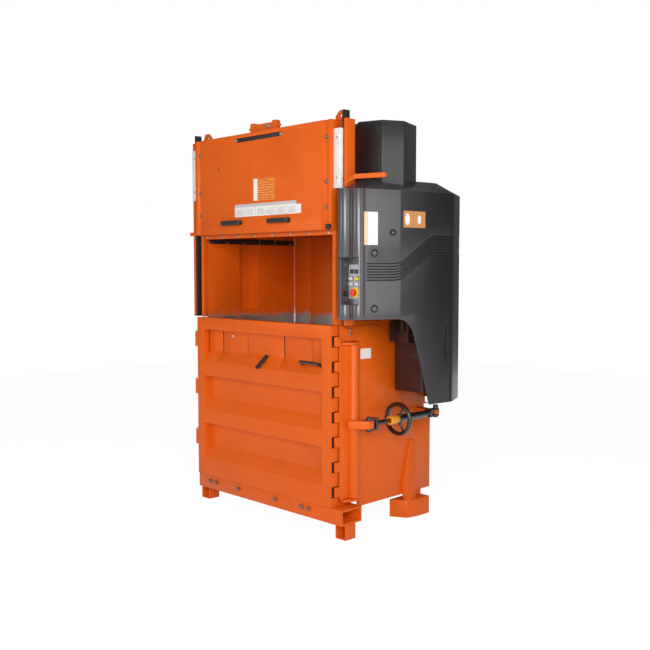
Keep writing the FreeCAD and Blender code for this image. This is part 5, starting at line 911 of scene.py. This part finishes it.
class BALER_OT_controls(PieceOperator, bpy.types.Operator):
    """Dress the control tray, keypad, buttons, emergency stop and knob"""
    bl_idname = "baler.dress_controls"
    bl_label = "Controls"

    def make(self, context):
        dressed("control_tray", hood_plastic("tray_plastic"), 1.0)
        dressed("keypad", enamel("keypad_film", rgb(176, 178, 182), 0.4), 0.8)
        for node in ("button_1", "button_2", "button_3"):
            dressed(node, enamel(node + "_plastic", rgb(206, 206, 208), 0.4), 1.0)
        dressed("button_4", enamel("button_yellow", rgb(238, 196, 30), 0.35), 1.0)
        dressed("stop_ring", enamel("stop_yellow", rgb(240, 200, 20), 0.3), 1.5)
        dressed("emergency_stop", enamel("stop_red", rgb(226, 58, 24), 0.25), 1.0)
        dressed("selector_knob", black_moulded("knob_plastic"), 1.0)
        glass = enamel("display_glass", rgb(70, 68, 74), 0.12, 0.1)
        for number, x in enumerate(PANE_XS, 1):
            plate("display_pane_%d" % number, at(x, PANE_Y, PANE_Z), (30, 25), FORWARD, 0.8, 1.5, glass,
                  "frame", "grey_plastic")
        plant(dome_stud(3.5, 2.5), "tray_rivet", [at(*place) for place in TRAY_RIVETS], RIGHTWARD,
              zinc_plate("rivet_zinc"), "frame", "zinc")
        rim = black_moulded("button_rim")
        for number, (x, z) in enumerate(BUTTON_PLACES, 1):
            plate("button_rim_%d" % number, at(x, BUTTON_RIM_Y, z), (38, 25), FORWARD, 0.5, 4, rim, "frame",
                  "black_plastic")


class BALER_OT_power(PieceOperator, bpy.types.Operator):
    """Dress the oil tank, motor and valve block under the hood in dark browns of painted shade, beside two
    sheets of painted shade
    """
    bl_idname = "baler.dress_power"
    bl_label = "Power unit"

    def make(self, context):
        # painted shade: the tank, motor and valve block are given dark browns that stand for the shadow
        # under the hood
        dressed("oil_tank", enamel("tank_shade_brown", rgb(52, 22, 13), 0.6), 2.0)
        dressed("pump_motor", enamel("motor_grey", rgb(58, 46, 44), 0.5), 0.8)
        dressed("valve_block", enamel("valve_shade_brown", rgb(64, 34, 24), 0.5), 1.0)
        # painted shade: two dark sheets put where there is only shadow under the hood
        shade = enamel("shade_sheet_brown", rgb(66, 25, 12), 0.6)
        for name, middle, size, normal in SHADE_SHEETS:
            plate(name, at(*middle), size, normal, 1.5, 3, shade, "frame", "orange_paint")


class BALER_OT_stage(PieceOperator, bpy.types.Operator):
    """Set the pale floor, the soft studio light and the camera"""
    bl_idname = "baler.set_stage"
    bl_label = "Stage"

    def make(self, context):
        scene = context.scene
        deselect()
        bpy.ops.mesh.primitive_plane_add(size=FLOOR_SIZE, location=(0, 0, 0))
        floor = context.object
        floor.name = "floor"
        f = Finish("floor_white", scene.baler_paint.floor_white, 0.9, specular=0.0)
        camera_ray = f.node("ShaderNodeLightPath", out="Is Camera Ray")
        glossy_ray = f.node("ShaderNodeLightPath", out="Is Glossy Ray")
        seen = camera_ray.most(glossy_ray)
        glow = f.node("ShaderNodeEmission", {}, {"Color": (1, 1, 1, 1), "Strength": FLOOR_GLOW})
        blend = f.node("ShaderNodeMixShader", {}, {0: seen * FLOOR_GLOW_SHARE,
                                                   1: Wire(f, f.surface.outputs[0]), 2: glow})
        f.tree.links.new(blend.socket, f.tree.nodes["Material Output"].inputs["Surface"])
        floor.data.materials.append(f.material)
        world = bpy.data.worlds.new("studio")
        scene.world = world
        world.use_nodes = True
        tree = world.node_tree
        background = tree.nodes["Background"]
        background.inputs["Color"].default_value = (1, 1, 1, 1)
        path = tree.nodes.new("ShaderNodeLightPath")
        level = tree.nodes.new("ShaderNodeMapRange")
        level.inputs["To Min"].default_value = WORLD_LIGHT
        level.inputs["To Max"].default_value = 1.0
        tree.links.new(path.outputs["Is Camera Ray"], level.inputs["Value"])
        tree.links.new(level.outputs["Result"], background.inputs["Strength"])
        for name, place, size, share in LAMPS:
            bpy.ops.object.light_add(type="AREA", location=at(*place))
            lamp = context.object
            lamp.name = name
            lamp.data.size = size
            lamp.data.energy = scene.baler_sizes.lamp_power * share
            lamp.rotation_euler = (at(*LAMPS_AIM) - at(*place)).to_track_quat("-Z", "Y").to_euler()
        bpy.ops.object.camera_add(location=at(*CAMERA))
        camera = context.object
        camera.data.sensor_fit = "HORIZONTAL"
        camera.data.sensor_width = SENSOR_WIDTH
        camera.data.lens = SENSOR_WIDTH * FOCAL_PIXELS / PICTURE_PIXELS
        camera.data.clip_end = CAMERA_REACH
        heading, tilt = math.radians(CAMERA_HEADING), math.radians(CAMERA_TILT)
        level_look = Vector((-math.sin(heading), math.cos(heading), 0.0))
        look = level_look * math.cos(tilt) - Vector((0, 0, math.sin(tilt)))
        camera.rotation_euler = look.to_track_quat("-Z", "Y").to_euler()
        scene.camera = camera
        scene.view_settings.view_transform = "Standard"


PIECES = (BALER_OT_frame, BALER_OT_chamber, BALER_OT_gate, BALER_OT_door, BALER_OT_lock, BALER_OT_press,
          BALER_OT_hood, BALER_OT_controls, BALER_OT_power, BALER_OT_stage)


class BALER_PT_looks(bpy.types.Panel):
    """Colours, sizes and piece groups of the baler"""
    bl_label = "Baler looks"
    bl_idname = "BALER_PT_looks"
    bl_space_type = "VIEW_3D"
    bl_region_type = "UI"
    bl_category = "Baler"

    def draw(self, context):
        for name in ("body_orange", "hood_charcoal", "floor_white"):
            self.layout.prop(context.scene.baler_paint, name)
        for name in ("edge_round", "lamp_power"):
            self.layout.prop(context.scene.baler_sizes, name)
        for piece in PIECES:
            self.layout.operator(piece.bl_idname)


CLASSES = (BalerPaint, BalerSizes, *PIECES, BALER_PT_looks)


def register():
    for cls in CLASSES:
        bpy.utils.register_class(cls)
    bpy.types.Scene.baler_paint = bpy.props.PointerProperty(type=BalerPaint)
    bpy.types.Scene.baler_sizes = bpy.props.PointerProperty(type=BalerSizes)


def unregister():
    del bpy.types.Scene.baler_sizes
    del bpy.types.Scene.baler_paint
    for cls in reversed(CLASSES):
        bpy.utils.unregister_class(cls)


def main():
    """Registers the add-on and makes every group of pieces."""
    register()
    for piece in PIECES:
        group, action = piece.bl_idname.split(".")
        getattr(getattr(bpy.ops, group), action)()


if __name__ == "__main__":
    main()
